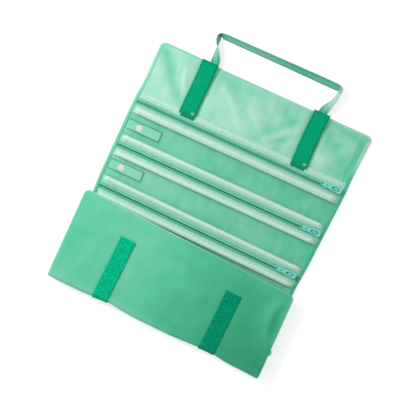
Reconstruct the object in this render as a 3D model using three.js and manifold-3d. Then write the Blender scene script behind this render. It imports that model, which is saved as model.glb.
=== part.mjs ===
import * as THREE from 'three';
import { mergeVertices } from 'three/addons/utils/BufferGeometryUtils.js';
import Module from 'manifold-3d';

// A padded jewelry roll, open on a table, with its lower flap folded up over the third pocket.
// Millimetres. X runs across the roll, Y towards the handle and Z up from the table.
// A place along the cloth is its distance down from the top edge.

// The layers of the padded cloth
const shellThick = 0.8;
const paddingThick = 1.6;
const liningThick = 0.6;
const borderRise = 0.4;
const borderWidth = 4.5;
const topHem = 1.2;
const layerGap = 0.3;
const foldGap = 0.3;
const cutOverrun = 5;

// The outline of the cloth: one width, drawn in a little by the pockets at its right side
const clothWidth = 278.4;
const topDrawIn = 0.4;
const waistPlace = 200;
const waistDrawIn = 10.6;
const topCornerRadius = 7;

// The pockets, down the cloth
const firstZipPlace = 75.5;
const upperTapeWidth = 12.4;
const lowerTapeWidth = 14.4;
const window1Length = 30.3;
const window2Length = 29;
const window3Length = 29;
const hemWidth = 12;
const thirdZipSlope = 0.0175;
const pocketDepth = 4.6;
const endSlope = 9;
const filmThick = 0.4;
const tapeThick = 0.6;
const seamGap = 0.2;
const seamWidth = 3;
const seamUnder = 2.6;

// The middle fold, across window 2
const upperFoldMargin = 1.8;
const lowerFoldMargin = 2.3;

// The lower flap and its fold
const plainLength = 65.25;
const flapFoldMiddle = -8.4;
const flapFoldSkew = THREE.MathUtils.degToRad(1.86);
const flapHeight = 104.35;
const flapEdgeDrop = 5.9;
const flapLean = 3.5;
const flapCornerRadius = 6;
const flapHem = 1.2;
const flapSpineLength = 11.4;
const foldBulge = 6;
const foldPaddingThick = 2.1;
const flapZipPlace = 27.4;
const flapWindowLength = 29;

// Zip parts
const tapeHalfGap = 0.7;
const valleyHalfWidth = 4.7;
const valleyHeight = 1.3;
const coilHalfWidth = 2.1;
const coilThick = 1.4;
const coilGap = 0.1;
const sliderHalfLength = 4.5;
const sliderNoseHalfWidth = 4.1;
const sliderTailHalfWidth = 3.3;
const sliderWallThick = 0.7;
const sliderPlateThick = 0.7;
const sliderTapeGap = 0.3;
const sliderHeadroom = 0.3;
const webHalfWidth = 0.4;
const webLength = 2.4;
const crownHalfWidth = 1;
const crownHalfLength = 3.2;
const crownLegLength = 1;
const crownSlotHeight = 1.7;
const crownTopThick = 0.6;
const pullBarRadius = 0.5;
const pullBarRise = 0.85;
const pullLength = 22;
const pullHalfWidth = 3.3;
const pullArmInside = 1.4;
const pullArmOutside = 2.6;
const pullWindowEnd = 5.2;
const pullShoulder = 7.4;
const pullTipRadius = 2.4;
const pullHoleRadius = 1.1;
const firstSliderInset = 26.2;
const secondSliderInset = 25.1;
const thirdSliderInset = 28.3;
const flapSliderInset = 18.5;

// Hook straps and loop strips
const hookStrapMiddles = { left: -75.7, right: 70.8 };
const hookStrapAhead = 1.6;
const hookTapeWidth = 21;
const hookTapeEnd = 69;
const hookTapeThick = 1.4;
const backingWidth = 18;
const backingZipClear = 0.4;
const backingThick = 0.8;
const strapStepStart = 11;
const strapStepEnd = 15;
const strapTapeRun = 2;
const loopStripMiddles = { left: -70.5, right: 69.6 };
const loopStripWidth = 20;
const loopStripLengths = { left: 74.6, right: 72.4 };
const loopStripStart = 0.6;
const loopStripThick = 1.2;

// The ribbon handle
const ribbonWidth = 10;
const ribbonThick = 0.9;
const ribbonGap = 0.1;
const handleRootInside = 10;
const handleHingeAhead = 3.5;
const handleHingeGap = 0.5;
const handleRoots = { left: -70.6, right: 71.4 };
const handleKnees = { left: -76.3, right: 79 };
const handleCorners = { left: -77.5, right: 80 };
const handleKneeReach = 20;
const handleStraight = 2;
const handleReach = 38.3;
const handleCornerRadius = 4.5;
const handleRunInset = 14;
const handleRunHeight = 5.3;
const handleEdgeTurn = THREE.MathUtils.degToRad(90);
const handleRunTurn = THREE.MathUtils.degToRad(50);
const handleTwistEndShare = 0.085;
const handleCornerShare = 0.15;
const handleRunShare = 0.21;
const handleSteps = 64;

// The keepers
const keeperPlaces = [106, 158.2];
const keeperWidth = 13;
const keeperFoldInset = 45;
const keeperStrapThick = 0.5;
const keeperLeafLength = 35;
const keeperRootInset = 1.4;
const keeperLeafGap = 0.1;
const snapInset = 17.5;
const snapCapRadius = 4.2;
const snapCapEdge = 0.3;
const snapCapRise = 0.35;
const socketRadius = 3.4;
const socketBoreRadius = 1.7;
const socketThick = 0.7;
const snapStudRadius = 1.3;
const snapStudClear = 0.15;

// Counts of steps in round shapes
const cornerSteps = 4;
const roundSteps = 16;
const bulgeSteps = 12;

// Heights above the table
const paddingFloor = shellThick;
const liningFloor = paddingFloor + paddingThick;
const liningTop = liningFloor + liningThick;
const foldHeight = liningTop + borderRise;

// Heights over the lining
const filmTop = pocketDepth + filmThick;
const seamFloor = filmTop + seamGap;

// Half widths of the cloth, at the top and on both sides at the waist
const topHalfWidth = clothWidth / 2 - topDrawIn;
const waistLeft = clothWidth / 2;
const waistRight = clothWidth / 2 - waistDrawIn;

// Places down the cloth
const secondZipPlace = firstZipPlace + lowerTapeWidth + window1Length + upperTapeWidth;
const thirdZipPlace = secondZipPlace + lowerTapeWidth + window2Length + upperTapeWidth;
const upperFoldPlace = secondZipPlace + lowerTapeWidth + upperFoldMargin;
const lowerFoldPlace = thirdZipPlace - upperTapeWidth - lowerFoldMargin;
const thirdHemPlace = thirdZipPlace + lowerTapeWidth + window3Length;
const flapFoldPlace = thirdHemPlace + hemWidth + plainLength;
const flapHemPlace = flapZipPlace + lowerTapeWidth + flapWindowLength;
const backingEnd = firstZipPlace - sliderNoseHalfWidth - backingZipClear;
const originPlace = (lowerFoldPlace + flapFoldPlace) / 2;

// The flap's fold line runs a little askew, between these two ends
const flapFoldLeft = {
  x: flapFoldMiddle - (clothWidth / 2) * Math.cos(flapFoldSkew),
  place: flapFoldPlace - (clothWidth / 2) * Math.sin(flapFoldSkew),
};
const flapFoldRight = {
  x: flapFoldMiddle + (clothWidth / 2) * Math.cos(flapFoldSkew),
  place: flapFoldPlace + (clothWidth / 2) * Math.sin(flapFoldSkew),
};

const wasm = await Module();
wasm.setup();

// The two cloths that pieces are laid out on: the sheet, and the flap as if it hung on down flat.
// Each gives its sides at a place, and the Y of that place.
const sheet = {
  left: (place) =>
    place < waistPlace
      ? THREE.MathUtils.mapLinear(place, 0, waistPlace, -topHalfWidth, -waistLeft)
      : THREE.MathUtils.mapLinear(place, waistPlace, flapFoldLeft.place, -waistLeft, flapFoldLeft.x),
  right: (place) =>
    place < waistPlace
      ? THREE.MathUtils.mapLinear(place, 0, waistPlace, topHalfWidth, waistRight)
      : THREE.MathUtils.mapLinear(place, waistPlace, flapFoldRight.place, waistRight, flapFoldRight.x),
  y: (place) => originPlace - place,
};
const flapCloth = {
  left: (place) => -clothWidth / 2 - (flapLean * place) / flapHeight,
  right: (place) => clothWidth / 2 - (flapLean * place) / flapHeight,
  y: (place) => -place,
};

// Surface finishes, one for each kind of material
const finishes = {
  velvet: { color: '#5cc79b', roughness: 0.9, metalness: 0 },
  lining: { color: '#9fdcc2', roughness: 0.9, metalness: 0 },
  foam: { color: '#e8ece6', roughness: 0.95, metalness: 0 },
  tape: { color: '#b7ddcc', roughness: 0.8, metalness: 0 },
  coil: { color: '#00735a', roughness: 0.5, metalness: 0 },
  slider: { color: '#5fd7be', roughness: 0.3, metalness: 0.2 },
  film: { color: '#c4e6d8', roughness: 0.15, metalness: 0 },
  hook: { color: '#01a874', roughness: 0.85, metalness: 0 },
  loop: { color: '#01a578', roughness: 0.95, metalness: 0 },
  ribbon: { color: '#55c8a0', roughness: 0.6, metalness: 0 },
  snap: { color: '#e7e0dd', roughness: 0.25, metalness: 0 },
};

function piece(name, geometry, finish) {
  const mesh = new THREE.Mesh(geometry, new THREE.MeshStandardMaterial(finishes[finish]));
  mesh.name = name;
  return mesh;
}

function groupOf(pieces, place = {}) {
  const group = new THREE.Group();
  group.position.set(place.x ?? 0, place.y ?? 0, place.z ?? 0);
  group.rotation.set(place.turnX ?? 0, 0, place.turnZ ?? 0);
  group.add(...pieces);
  return group;
}

// Solids are merged to shared vertices before they are joined or cut
function merged(geometry) {
  const bare = geometry.index ? geometry.toNonIndexed() : geometry.clone();
  bare.deleteAttribute('normal');
  bare.deleteAttribute('uv');
  return mergeVertices(bare);
}

function solidFrom(geometry) {
  const whole = merged(geometry);
  return new wasm.Manifold(
    new wasm.Mesh({
      numProp: 3,
      vertProperties: new Float32Array(whole.attributes.position.array),
      triVerts: new Uint32Array(whole.index.array),
    }),
  );
}

function geometryFrom(solid) {
  const mesh = solid.getMesh();
  const geometry = new THREE.BufferGeometry();
  geometry.setAttribute('position', new THREE.BufferAttribute(mesh.vertProperties, mesh.numProp));
  geometry.setIndex(new THREE.BufferAttribute(mesh.triVerts, 1));
  geometry.computeVertexNormals();
  return geometry;
}

function joined(first, ...others) {
  return geometryFrom(others.reduce((whole, other) => whole.add(solidFrom(other)), solidFrom(first)));
}

function cut(first, ...others) {
  return geometryFrom(others.reduce((whole, other) => whole.subtract(solidFrom(other)), solidFrom(first)));
}

// A closed outline whose corners may be rounded
function outline(corners) {
  const shape = new THREE.Shape();
  corners.forEach((corner, i) => {
    const here = new THREE.Vector2(corner.x, corner.y);
    const before = new THREE.Vector2(...pointOf(corners.at(i - 1)));
    const after = new THREE.Vector2(...pointOf(corners[(i + 1) % corners.length]));
    const radius = corner.radius ?? 0;
    const start = here.clone().add(before.sub(here).setLength(radius));
    const end = here.clone().add(after.sub(here).setLength(radius));
    if (i === 0) shape.moveTo(start.x, start.y);
    else shape.lineTo(start.x, start.y);
    if (radius > 0) shape.quadraticCurveTo(here.x, here.y, end.x, end.y);
  });
  return shape;
}

function pointOf(corner) {
  return [corner.x, corner.y];
}

function slab(shape, floor, thick) {
  const options = { depth: thick, bevelEnabled: false, curveSegments: cornerSteps };
  return new THREE.ExtrudeGeometry(shape, options).translate(0, 0, floor);
}

// A slab whose outline is drawn in Y and Z and runs along X
function slabAlongX(shape, start, length) {
  const turn = new THREE.Matrix4().makeBasis(
    new THREE.Vector3(0, 1, 0),
    new THREE.Vector3(0, 0, 1),
    new THREE.Vector3(1, 0, 0),
  );
  return slab(shape, start, length).applyMatrix4(turn);
}

// A slab whose outline is drawn in X and Z and is centred on Y
function slabAcrossY(shape, halfWidth) {
  return slab(shape, -halfWidth, halfWidth * 2).rotateX(Math.PI / 2);
}

function cylinder(radius, floor, thick, x = 0, y = 0) {
  return new THREE.CylinderGeometry(radius, radius, thick, roundSteps)
    .rotateX(Math.PI / 2)
    .translate(x, y, floor + thick / 2);
}

// A band of cloth or film laid over the pockets. Its rows run across the cloth, from the top down,
// each with its height over the lining in the middle and at the two ends. Its columns are given by
// columnsAt(place), from left to right, each with its X and with how far it is raised, from 0 to 1.
function band(cloth, rows, columnsAt, thick) {
  const columnCount = columnsAt(rows[0].place).length;
  const geometry = new THREE.BoxGeometry(1, 1, 1, columnCount - 1, rows.length - 1, 1);
  const position = geometry.attributes.position;
  for (let i = 0; i < position.count; i += 1) {
    const row = rows[Math.round((0.5 - position.getY(i)) * (rows.length - 1))];
    const column = columnsAt(row.place)[Math.round((position.getX(i) + 0.5) * (columnCount - 1))];
    const floor = liningTop + THREE.MathUtils.lerp(row.end, row.middle, column.raised);
    const top = position.getZ(i) > 0 ? thick : 0;
    const place = row.place + (row.slope ?? 0) * column.x;
    position.setXYZ(i, column.x, cloth.y(place), floor + top);
  }
  return geometry;
}

function pocketColumns(cloth) {
  return (place) => {
    const left = cloth.left(place) + borderWidth + layerGap;
    const right = cloth.right(place) - borderWidth - layerGap;
    return [
      { x: left, raised: 0 },
      { x: left + endSlope, raised: 1 },
      { x: right - endSlope, raised: 1 },
      { x: right, raised: 0 },
    ];
  };
}

function coilColumns(cloth, end) {
  return (place) => [
    { x: cloth.left(place) + borderWidth + layerGap, raised: 0 },
    { x: cloth.left(place) + borderWidth + layerGap + endSlope, raised: 1 },
    { x: end, raised: 1 },
  ];
}

function straightColumns(middle, width) {
  return () => [
    { x: middle - width / 2, raised: 1 },
    { x: middle + width / 2, raised: 1 },
  ];
}

// The padded cloth: an outer shell whose sides turn up as a border, with padding and lining inside
function paddedPanel(name, cornersInset) {
  const shell = cut(
    slab(outline(cornersInset(0, 0, 0)), 0, foldHeight),
    slab(outline(cornersInset(borderWidth, -cutOverrun, topHem)), paddingFloor, foldHeight),
  );
  const inner = outline(cornersInset(borderWidth + layerGap, 0, topHem + layerGap));
  return [
    piece(`${name}_shell`, shell, 'velvet'),
    piece(`${name}_padding`, slab(inner, paddingFloor, paddingThick), 'foam'),
    piece(`${name}_lining`, slab(inner, liningFloor, liningThick), 'lining'),
  ];
}

function upperCorners(side, end, edge) {
  const radius = Math.max(topCornerRadius - side, topHem);
  const bottom = upperFoldPlace - foldGap - end;
  return [
    { x: sheet.left(bottom) + side, y: sheet.y(bottom) },
    { x: sheet.right(bottom) - side, y: sheet.y(bottom) },
    { x: sheet.right(0) - side, y: sheet.y(edge), radius },
    { x: sheet.left(0) + side, y: sheet.y(edge), radius },
  ];
}

function spineCorners(side, end) {
  const top = upperFoldPlace + foldGap + end;
  const bottom = lowerFoldPlace - foldGap - end;
  return [
    { x: sheet.left(bottom) + side, y: sheet.y(bottom) },
    { x: sheet.right(bottom) - side, y: sheet.y(bottom) },
    { x: sheet.right(top) - side, y: sheet.y(top) },
    { x: sheet.left(top) + side, y: sheet.y(top) },
  ];
}

function baseCorners(side, end) {
  const top = lowerFoldPlace + foldGap + end;
  const leftBottom = flapFoldLeft.place - foldGap - end;
  const rightBottom = flapFoldRight.place - foldGap - end;
  return [
    { x: sheet.left(leftBottom) + side, y: sheet.y(leftBottom) },
    { x: sheet.right(rightBottom) - side, y: sheet.y(rightBottom) },
    { x: waistRight - side, y: sheet.y(waistPlace) },
    { x: sheet.right(top) - side, y: sheet.y(top) },
    { x: sheet.left(top) + side, y: sheet.y(top) },
    { x: -waistLeft + side, y: sheet.y(waistPlace) },
  ];
}

function flapCorners(side, end, edge) {
  const top = foldGap + end;
  const radius = Math.max(flapCornerRadius - side, flapHem);
  const bottom = flapHeight - edge;
  return [
    { x: flapCloth.left(bottom) + side, y: flapCloth.y(bottom + flapEdgeDrop / 2), radius },
    { x: flapCloth.right(bottom) - side, y: flapCloth.y(bottom - flapEdgeDrop / 2), radius },
    { x: flapCloth.right(top) - side, y: flapCloth.y(top) },
    { x: flapCloth.left(top) + side, y: flapCloth.y(top) },
  ];
}

// A zip tape, from its inner edge beside the coil to its outer edge. Its outer edge is sewn over a
// window's film, or flat on the lining where no window meets it.
function zipTape(cloth, zipPlace, slope, way, width, overWindow) {
  const outer = overWindow ? { middle: seamFloor, end: filmThick + seamGap } : { middle: 0, end: 0 };
  const valley = { middle: valleyHeight, end: 0 };
  const rows = [
    { place: zipPlace + way * tapeHalfGap, slope, ...valley },
    { place: zipPlace + way * valleyHalfWidth, slope, ...valley },
    { place: zipPlace + way * (width - seamWidth), slope, ...outer },
    { place: zipPlace + way * width, slope, ...outer },
  ];
  if (way < 0) rows.reverse();
  return band(cloth, rows, pocketColumns(cloth), tapeThick);
}

function zipCoil(cloth, zipPlace, slope, sliderPlace) {
  const height = { middle: valleyHeight + tapeThick + coilGap, end: tapeThick + coilGap };
  const rows = [
    { place: zipPlace - coilHalfWidth, slope, ...height },
    { place: zipPlace + coilHalfWidth, slope, ...height },
  ];
  return band(cloth, rows, coilColumns(cloth, sliderPlace), coilThick);
}

function zipPieces(name, cloth, zipPlace, slope, sliderInset, windowAbove) {
  const sliderPlace = cloth.right(zipPlace) - sliderInset;
  const upperTape = zipTape(cloth, zipPlace, slope, -1, upperTapeWidth, windowAbove);
  const lowerTape = zipTape(cloth, zipPlace, slope, 1, lowerTapeWidth, true);
  return [
    piece(`${name}_upper_tape`, upperTape, 'tape'),
    piece(`${name}_lower_tape`, lowerTape, 'tape'),
    piece(`${name}_coil`, zipCoil(cloth, zipPlace, slope, sliderPlace), 'coil'),
  ];
}

// The clear film between two seams, which slopes down to the lining at both ends
function windowFilm(name, cloth, top, topSlope, bottom, bottomSlope) {
  const height = { middle: pocketDepth, end: 0 };
  const rows = [
    { place: top - seamUnder, slope: topSlope, ...height },
    { place: bottom + seamUnder, slope: bottomSlope, ...height },
  ];
  return piece(name, band(cloth, rows, pocketColumns(cloth), filmThick), 'film');
}

// The hem band below a pocket, from its window's seam down to the lining
function hemBand(name, cloth, top, slope) {
  const outer = { middle: seamFloor, end: filmThick + seamGap };
  const rows = [
    { place: top, slope, ...outer },
    { place: top + seamWidth, slope, ...outer },
    { place: top + hemWidth - seamWidth, slope, middle: 0, end: 0 },
    { place: top + hemWidth, slope, middle: 0, end: 0 },
  ];
  return piece(name, band(cloth, rows, pocketColumns(cloth), tapeThick), 'tape');
}

// The slider: an upper and a lower wing joined by a web between the tapes, with a crown for the pull
const lowerWingFloor = liningTop + valleyHeight - sliderTapeGap - sliderPlateThick;
const tapeTop = liningTop + valleyHeight + tapeThick;
const wallFloor = tapeTop + sliderTapeGap;
const upperWingFloor = tapeTop + coilGap + coilThick + sliderHeadroom;
const upperWingTop = upperWingFloor + sliderPlateThick;
const pullBarHeight = upperWingTop + pullBarRise;

function wingOutline(wall) {
  return outline([
    { x: -sliderHalfLength, y: -sliderTailHalfWidth + wall },
    { x: sliderHalfLength, y: -sliderNoseHalfWidth + wall },
    { x: sliderHalfLength, y: sliderNoseHalfWidth - wall },
    { x: -sliderHalfLength, y: sliderTailHalfWidth - wall },
  ]);
}

function channelOutline() {
  const ahead = sliderHalfLength + cutOverrun;
  const spread = (sliderNoseHalfWidth - sliderTailHalfWidth) / (sliderHalfLength * 2);
  const tail = sliderTailHalfWidth - sliderWallThick - spread * cutOverrun;
  const nose = sliderNoseHalfWidth - sliderWallThick + spread * cutOverrun;
  return outline([
    { x: -ahead, y: -tail },
    { x: ahead, y: -nose },
    { x: ahead, y: nose },
    { x: -ahead, y: tail },
  ]);
}

function crownOutline() {
  const top = upperWingTop + crownSlotHeight + crownTopThick;
  const inside = crownHalfLength - crownLegLength;
  const root = upperWingTop - sliderPlateThick / 2;
  return outline([
    { x: -crownHalfLength, y: root },
    { x: -inside, y: root },
    { x: -inside, y: upperWingTop + crownSlotHeight },
    { x: inside, y: upperWingTop + crownSlotHeight },
    { x: inside, y: root },
    { x: crownHalfLength, y: root },
    { x: crownHalfLength, y: upperWingTop + crownSlotHeight },
    { x: inside, y: top },
    { x: -inside, y: top },
    { x: -crownHalfLength, y: upperWingTop + crownSlotHeight },
  ]);
}

function sliderGeometry() {
  const upper = slab(wingOutline(0), wallFloor, upperWingTop - wallFloor);
  const channel = slab(channelOutline(), wallFloor - cutOverrun, upperWingFloor - wallFloor + cutOverrun);
  const lower = slab(wingOutline(0), lowerWingFloor, sliderPlateThick);
  const web = new THREE.BoxGeometry(webLength, webHalfWidth * 2, upperWingTop - lowerWingFloor)
    .translate(sliderHalfLength - webLength / 2, 0, (upperWingTop + lowerWingFloor) / 2);
  return joined(cut(upper, channel), lower, web, slabAcrossY(crownOutline(), crownHalfWidth));
}

// The pull: a bar under the crown, two arms past it, and a tab with a keyhole tip
function pullOutline() {
  const shape = outline([
    { x: -pullBarRadius, y: -pullArmOutside },
    { x: pullWindowEnd, y: -pullArmOutside },
    { x: pullShoulder, y: -pullHalfWidth },
    { x: pullLength - pullTipRadius, y: -pullHalfWidth, radius: pullTipRadius },
    { x: pullLength, y: -pullHalfWidth + pullTipRadius, radius: pullBarRadius },
    { x: pullLength, y: pullHalfWidth - pullTipRadius, radius: pullBarRadius },
    { x: pullLength - pullTipRadius, y: pullHalfWidth, radius: pullTipRadius },
    { x: pullShoulder, y: pullHalfWidth },
    { x: pullWindowEnd, y: pullArmOutside },
    { x: -pullBarRadius, y: pullArmOutside },
  ]);
  const crownRoom = outline([
    { x: pullBarRadius, y: -pullArmInside },
    { x: pullWindowEnd, y: -pullArmInside },
    { x: pullWindowEnd, y: pullArmInside },
    { x: pullBarRadius, y: pullArmInside },
  ]);
  const hole = new THREE.Path().absarc(pullLength - pullTipRadius * 2, 0, pullHoleRadius, 0, Math.PI * 2);
  shape.holes.push(new THREE.Path(crownRoom.getPoints(1)), hole);
  return shape;
}

function pullGeometry() {
  return slab(pullOutline(), pullBarHeight - pullBarRadius, pullBarRadius * 2);
}

function sliderAndPull(number, cloth, zipPlace, slope, sliderInset) {
  const sliderPlace = cloth.right(zipPlace) - sliderInset;
  const pieces = [
    piece(`zip_${number}_slider`, sliderGeometry(), 'slider'),
    piece(`zip_${number}_pull`, pullGeometry(), 'slider'),
  ];
  const y = cloth.y(zipPlace + slope * sliderPlace);
  return groupOf(pieces, { x: sliderPlace, y, turnZ: -Math.atan(slope) });
}

// A hook strap: hook tape on a narrower backing, both raised at the top where a handle root lies under them
const rootFloor = foldHeight + ribbonGap;
const strapRaise = rootFloor + ribbonThick + ribbonGap - liningTop;

// Its height over the lining: over the handle root, down to the lining, then over the first zip's tape
function strapHeights() {
  const overTape = tapeThick + ribbonGap;
  const tapeEdge = firstZipPlace - upperTapeWidth;
  return [
    { place: -hookStrapAhead, height: strapRaise },
    { place: strapStepStart, height: strapRaise },
    { place: strapStepEnd, height: 0 },
    { place: tapeEdge - strapTapeRun, height: 0 },
    { place: tapeEdge - layerGap, height: overTape },
    { place: tapeEdge + seamWidth, height: overTape },
    { place: firstZipPlace - valleyHalfWidth, height: valleyHeight + overTape },
    { place: firstZipPlace, height: valleyHeight + overTape },
  ];
}

function strapBand(middle, width, end, level, thick) {
  const heights = strapHeights();
  const beyond = heights.findIndex((step) => step.place > end);
  const last = heights[beyond - 1];
  const share = (end - last.place) / (heights[beyond].place - last.place);
  const atEnd = { place: end, height: THREE.MathUtils.lerp(last.height, heights[beyond].height, share) };
  const rows = [...heights.slice(0, beyond), atEnd]
    .map((step) => ({ place: step.place, middle: step.height + level, end: 0 }));
  return band(sheet, rows, straightColumns(middle, width), thick);
}

function hookStrap(side) {
  const middle = hookStrapMiddles[side];
  const backing = strapBand(middle, backingWidth, backingEnd, 0, backingThick);
  const tape = strapBand(middle, hookTapeWidth, hookTapeEnd, backingThick + ribbonGap, hookTapeThick);
  return [
    piece(`hook_backing_${side}`, backing, 'ribbon'),
    piece(`hook_tape_${side}`, tape, 'hook'),
  ];
}

function handleRoot(side) {
  const length = handleHingeAhead - handleHingeGap + handleRootInside;
  const root = new THREE.BoxGeometry(ribbonWidth, length, ribbonThick)
    .translate(handleRoots[side], sheet.y(handleRootInside) + length / 2, rootFloor + ribbonThick / 2);
  return piece(`handle_root_${side}`, root, 'ribbon');
}

// The handle: one flat ribbon that turns on edge up its legs and leans over along its run
function handleRoute() {
  const start = handleHingeAhead + handleHingeGap;
  const bendStart = handleReach - handleCornerRadius;
  const rootHeight = rootFloor + ribbonThick / 2;
  const at = (x, reach, height) => new THREE.Vector3(x, sheet.y(-reach), height);
  const leg = (side) => [
    at(handleRoots[side], start, rootHeight),
    at(handleRoots[side], start + handleStraight, rootHeight),
    at(handleKnees[side], handleKneeReach, handleRunHeight),
    at(handleCorners[side], bendStart, handleRunHeight),
  ];
  return new THREE.CatmullRomCurve3([
    ...leg('left'),
    at(handleCorners.left + handleCornerRadius, handleReach, handleRunHeight),
    at(handleCorners.left + handleRunInset, handleReach, handleRunHeight),
    at(handleCorners.right - handleRunInset, handleReach, handleRunHeight),
    at(handleCorners.right - handleCornerRadius, handleReach, handleRunHeight),
    ...leg('right').reverse(),
  ], false, 'centripetal');
}

function handleTurn(share) {
  const fromEnd = Math.min(share, 1 - share);
  const onEdge = THREE.MathUtils.smoothstep(fromEnd, 0, handleTwistEndShare) * handleEdgeTurn;
  const lean = THREE.MathUtils.smoothstep(fromEnd, handleCornerShare, handleRunShare);
  return onEdge + lean * (handleRunTurn - handleEdgeTurn);
}

function handleGeometry() {
  const route = handleRoute();
  const geometry = new THREE.BoxGeometry(1, ribbonWidth, ribbonThick, handleSteps, 1, 1);
  const position = geometry.attributes.position;
  const up = new THREE.Vector3(0, 0, 1);
  for (let i = 0; i < position.count; i += 1) {
    const share = THREE.MathUtils.clamp(position.getX(i) + 0.5, 0, 1);
    const along = route.getTangentAt(share);
    const outward = up.clone().cross(along).normalize();
    const turn = handleTurn(share);
    const across = outward.multiplyScalar(Math.cos(turn)).addScaledVector(up, Math.sin(turn));
    const through = along.clone().cross(across).normalize();
    const point = route.getPointAt(share)
      .addScaledVector(across, position.getY(i))
      .addScaledVector(through, position.getZ(i));
    position.setXYZ(i, point.x, point.y, point.z);
  }
  return geometry;
}

// A keeper: a strap on the pocket's floor, and a leaf that folds over it and snaps shut
const socketFloor = liningTop + keeperStrapThick;
const leafFloor = socketFloor + socketThick + keeperLeafGap;
const leafTop = leafFloor + keeperStrapThick;

function keeperStrap(number, place) {
  const left = sheet.left(place) + borderWidth + layerGap + keeperRootInset;
  const length = sheet.left(place) + keeperFoldInset - layerGap - left;
  const snapPlace = sheet.left(place) + snapInset;
  const strap = new THREE.BoxGeometry(length, keeperWidth, keeperStrapThick)
    .translate(left + length / 2, sheet.y(place), liningTop + keeperStrapThick / 2);
  const socket = cut(
    cylinder(socketRadius, socketFloor, socketThick, snapPlace, sheet.y(place)),
    cylinder(socketBoreRadius, socketFloor - cutOverrun, cutOverrun * 2, snapPlace, sheet.y(place)),
  );
  return [
    piece(`keeper_${number}_strap`, strap, 'lining'),
    piece(`keeper_${number}_socket`, socket, 'snap'),
  ];
}

function keeperLeaf(number, place) {
  const snapPlace = sheet.left(place) + snapInset;
  const leaf = cut(
    new THREE.BoxGeometry(keeperLeafLength, keeperWidth, keeperStrapThick).translate(
      sheet.left(place) + keeperFoldInset - layerGap - keeperLeafLength / 2,
      sheet.y(place),
      leafFloor + keeperStrapThick / 2,
    ),
    cylinder(socketBoreRadius, leafFloor - cutOverrun, cutOverrun * 2, snapPlace, sheet.y(place)),
  );
  const profile = [
    [0, socketFloor + snapStudClear],
    [snapStudRadius, socketFloor + snapStudClear],
    [snapStudRadius, leafTop],
    [snapCapRadius, leafTop],
    [snapCapRadius, leafTop + snapCapEdge],
    [snapCapRadius / 2, leafTop + snapCapEdge + snapCapRise],
    [0, leafTop + snapCapEdge + snapCapRise],
  ].map((point) => new THREE.Vector2(...point));
  const cap = new THREE.LatheGeometry(profile, roundSteps)
    .rotateX(Math.PI / 2)
    .translate(snapPlace, sheet.y(place), 0);
  return [
    piece(`keeper_${number}_leaf`, leaf, 'lining'),
    piece(`keeper_${number}_cap`, cap, 'snap'),
  ];
}

// The low fold: the outer cloth bulges round the edge, with a strip of padding and lining inside
const rollHeight = foldHeight * 2 + flapSpineLength;

function bulgeArc(inward, steps) {
  const halfHeight = rollHeight / 2 - inward;
  const depth = foldBulge - inward;
  return Array.from({ length: steps + 1 }, (_, i) => {
    const angle = Math.PI * (i / steps - 0.5);
    return { x: -depth * Math.cos(angle) - layerGap, y: rollHeight / 2 + halfHeight * Math.sin(angle) };
  });
}

function foldSlab(start, thick) {
  const low = foldHeight + foldGap;
  const high = foldHeight + flapSpineLength - foldGap;
  return outline([
    { x: start, y: low },
    { x: start + thick, y: low },
    { x: start + thick, y: high },
    { x: start, y: high },
  ]);
}

function lowFold() {
  const skinShape = outline([...bulgeArc(0, bulgeSteps).reverse(), ...bulgeArc(shellThick, bulgeSteps)]);
  const liningStart = liningFloor - foldHeight;
  const liningShape = foldSlab(liningStart, liningThick);
  const paddingShape = foldSlab(liningStart - foldPaddingThick, foldPaddingThick);
  const innerLength = clothWidth - (borderWidth + layerGap) * 2;
  return [
    piece('low_fold_shell', slabAlongX(skinShape, -clothWidth / 2, clothWidth), 'velvet'),
    piece('low_fold_padding', slabAlongX(paddingShape, -innerLength / 2, innerLength), 'foam'),
    piece('low_fold_lining', slabAlongX(liningShape, -innerLength / 2, innerLength), 'lining'),
  ];
}

function loopStrip(side) {
  const length = loopStripLengths[side];
  const strip = new THREE.BoxGeometry(loopStripWidth, length, loopStripThick).translate(
    loopStripMiddles[side],
    flapCloth.y(loopStripStart + length / 2),
    -loopStripThick / 2,
  );
  return piece(`loop_strip_${side}`, strip, 'loop');
}

// The top panel, with the first two zips
function topPanel() {
  return [
    ...paddedPanel('top', upperCorners),
    ...zipPieces('zip_1', sheet, firstZipPlace, 0, firstSliderInset, false),
    windowFilm('window_1', sheet, firstZipPlace + lowerTapeWidth, 0, secondZipPlace - upperTapeWidth, 0),
    ...zipPieces('zip_2', sheet, secondZipPlace, 0, secondSliderInset, true),
    ...hookStrap('left'),
    ...hookStrap('right'),
    handleRoot('left'),
    handleRoot('right'),
    ...keeperStrap(1, keeperPlaces[0]),
    ...keeperLeaf(1, keeperPlaces[0]),
    piece('handle', handleGeometry(), 'ribbon'),
    sliderAndPull(1, sheet, firstZipPlace, 0, firstSliderInset),
    sliderAndPull(2, sheet, secondZipPlace, 0, secondSliderInset),
  ];
}

// The spine, which stands up between the two halves when the roll is closed
function spine() {
  const windowTop = secondZipPlace + lowerTapeWidth;
  const windowBottom = thirdZipPlace - upperTapeWidth;
  return [
    ...paddedPanel('spine', spineCorners),
    windowFilm('window_2', sheet, windowTop, 0, windowBottom, thirdZipSlope),
    ...keeperStrap(2, keeperPlaces[1]),
    ...keeperLeaf(2, keeperPlaces[1]),
  ];
}

// The base panel, with the third zip and its pocket
function basePanel() {
  const windowTop = thirdZipPlace + lowerTapeWidth;
  return [
    ...paddedPanel('base', baseCorners),
    ...zipPieces('zip_3', sheet, thirdZipPlace, thirdZipSlope, thirdSliderInset, true),
    windowFilm('window_3', sheet, windowTop, thirdZipSlope, thirdHemPlace, thirdZipSlope),
    hemBand('pocket_3_hem', sheet, thirdHemPlace, thirdZipSlope),
    sliderAndPull(3, sheet, thirdZipPlace, thirdZipSlope, thirdSliderInset),
  ];
}

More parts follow.
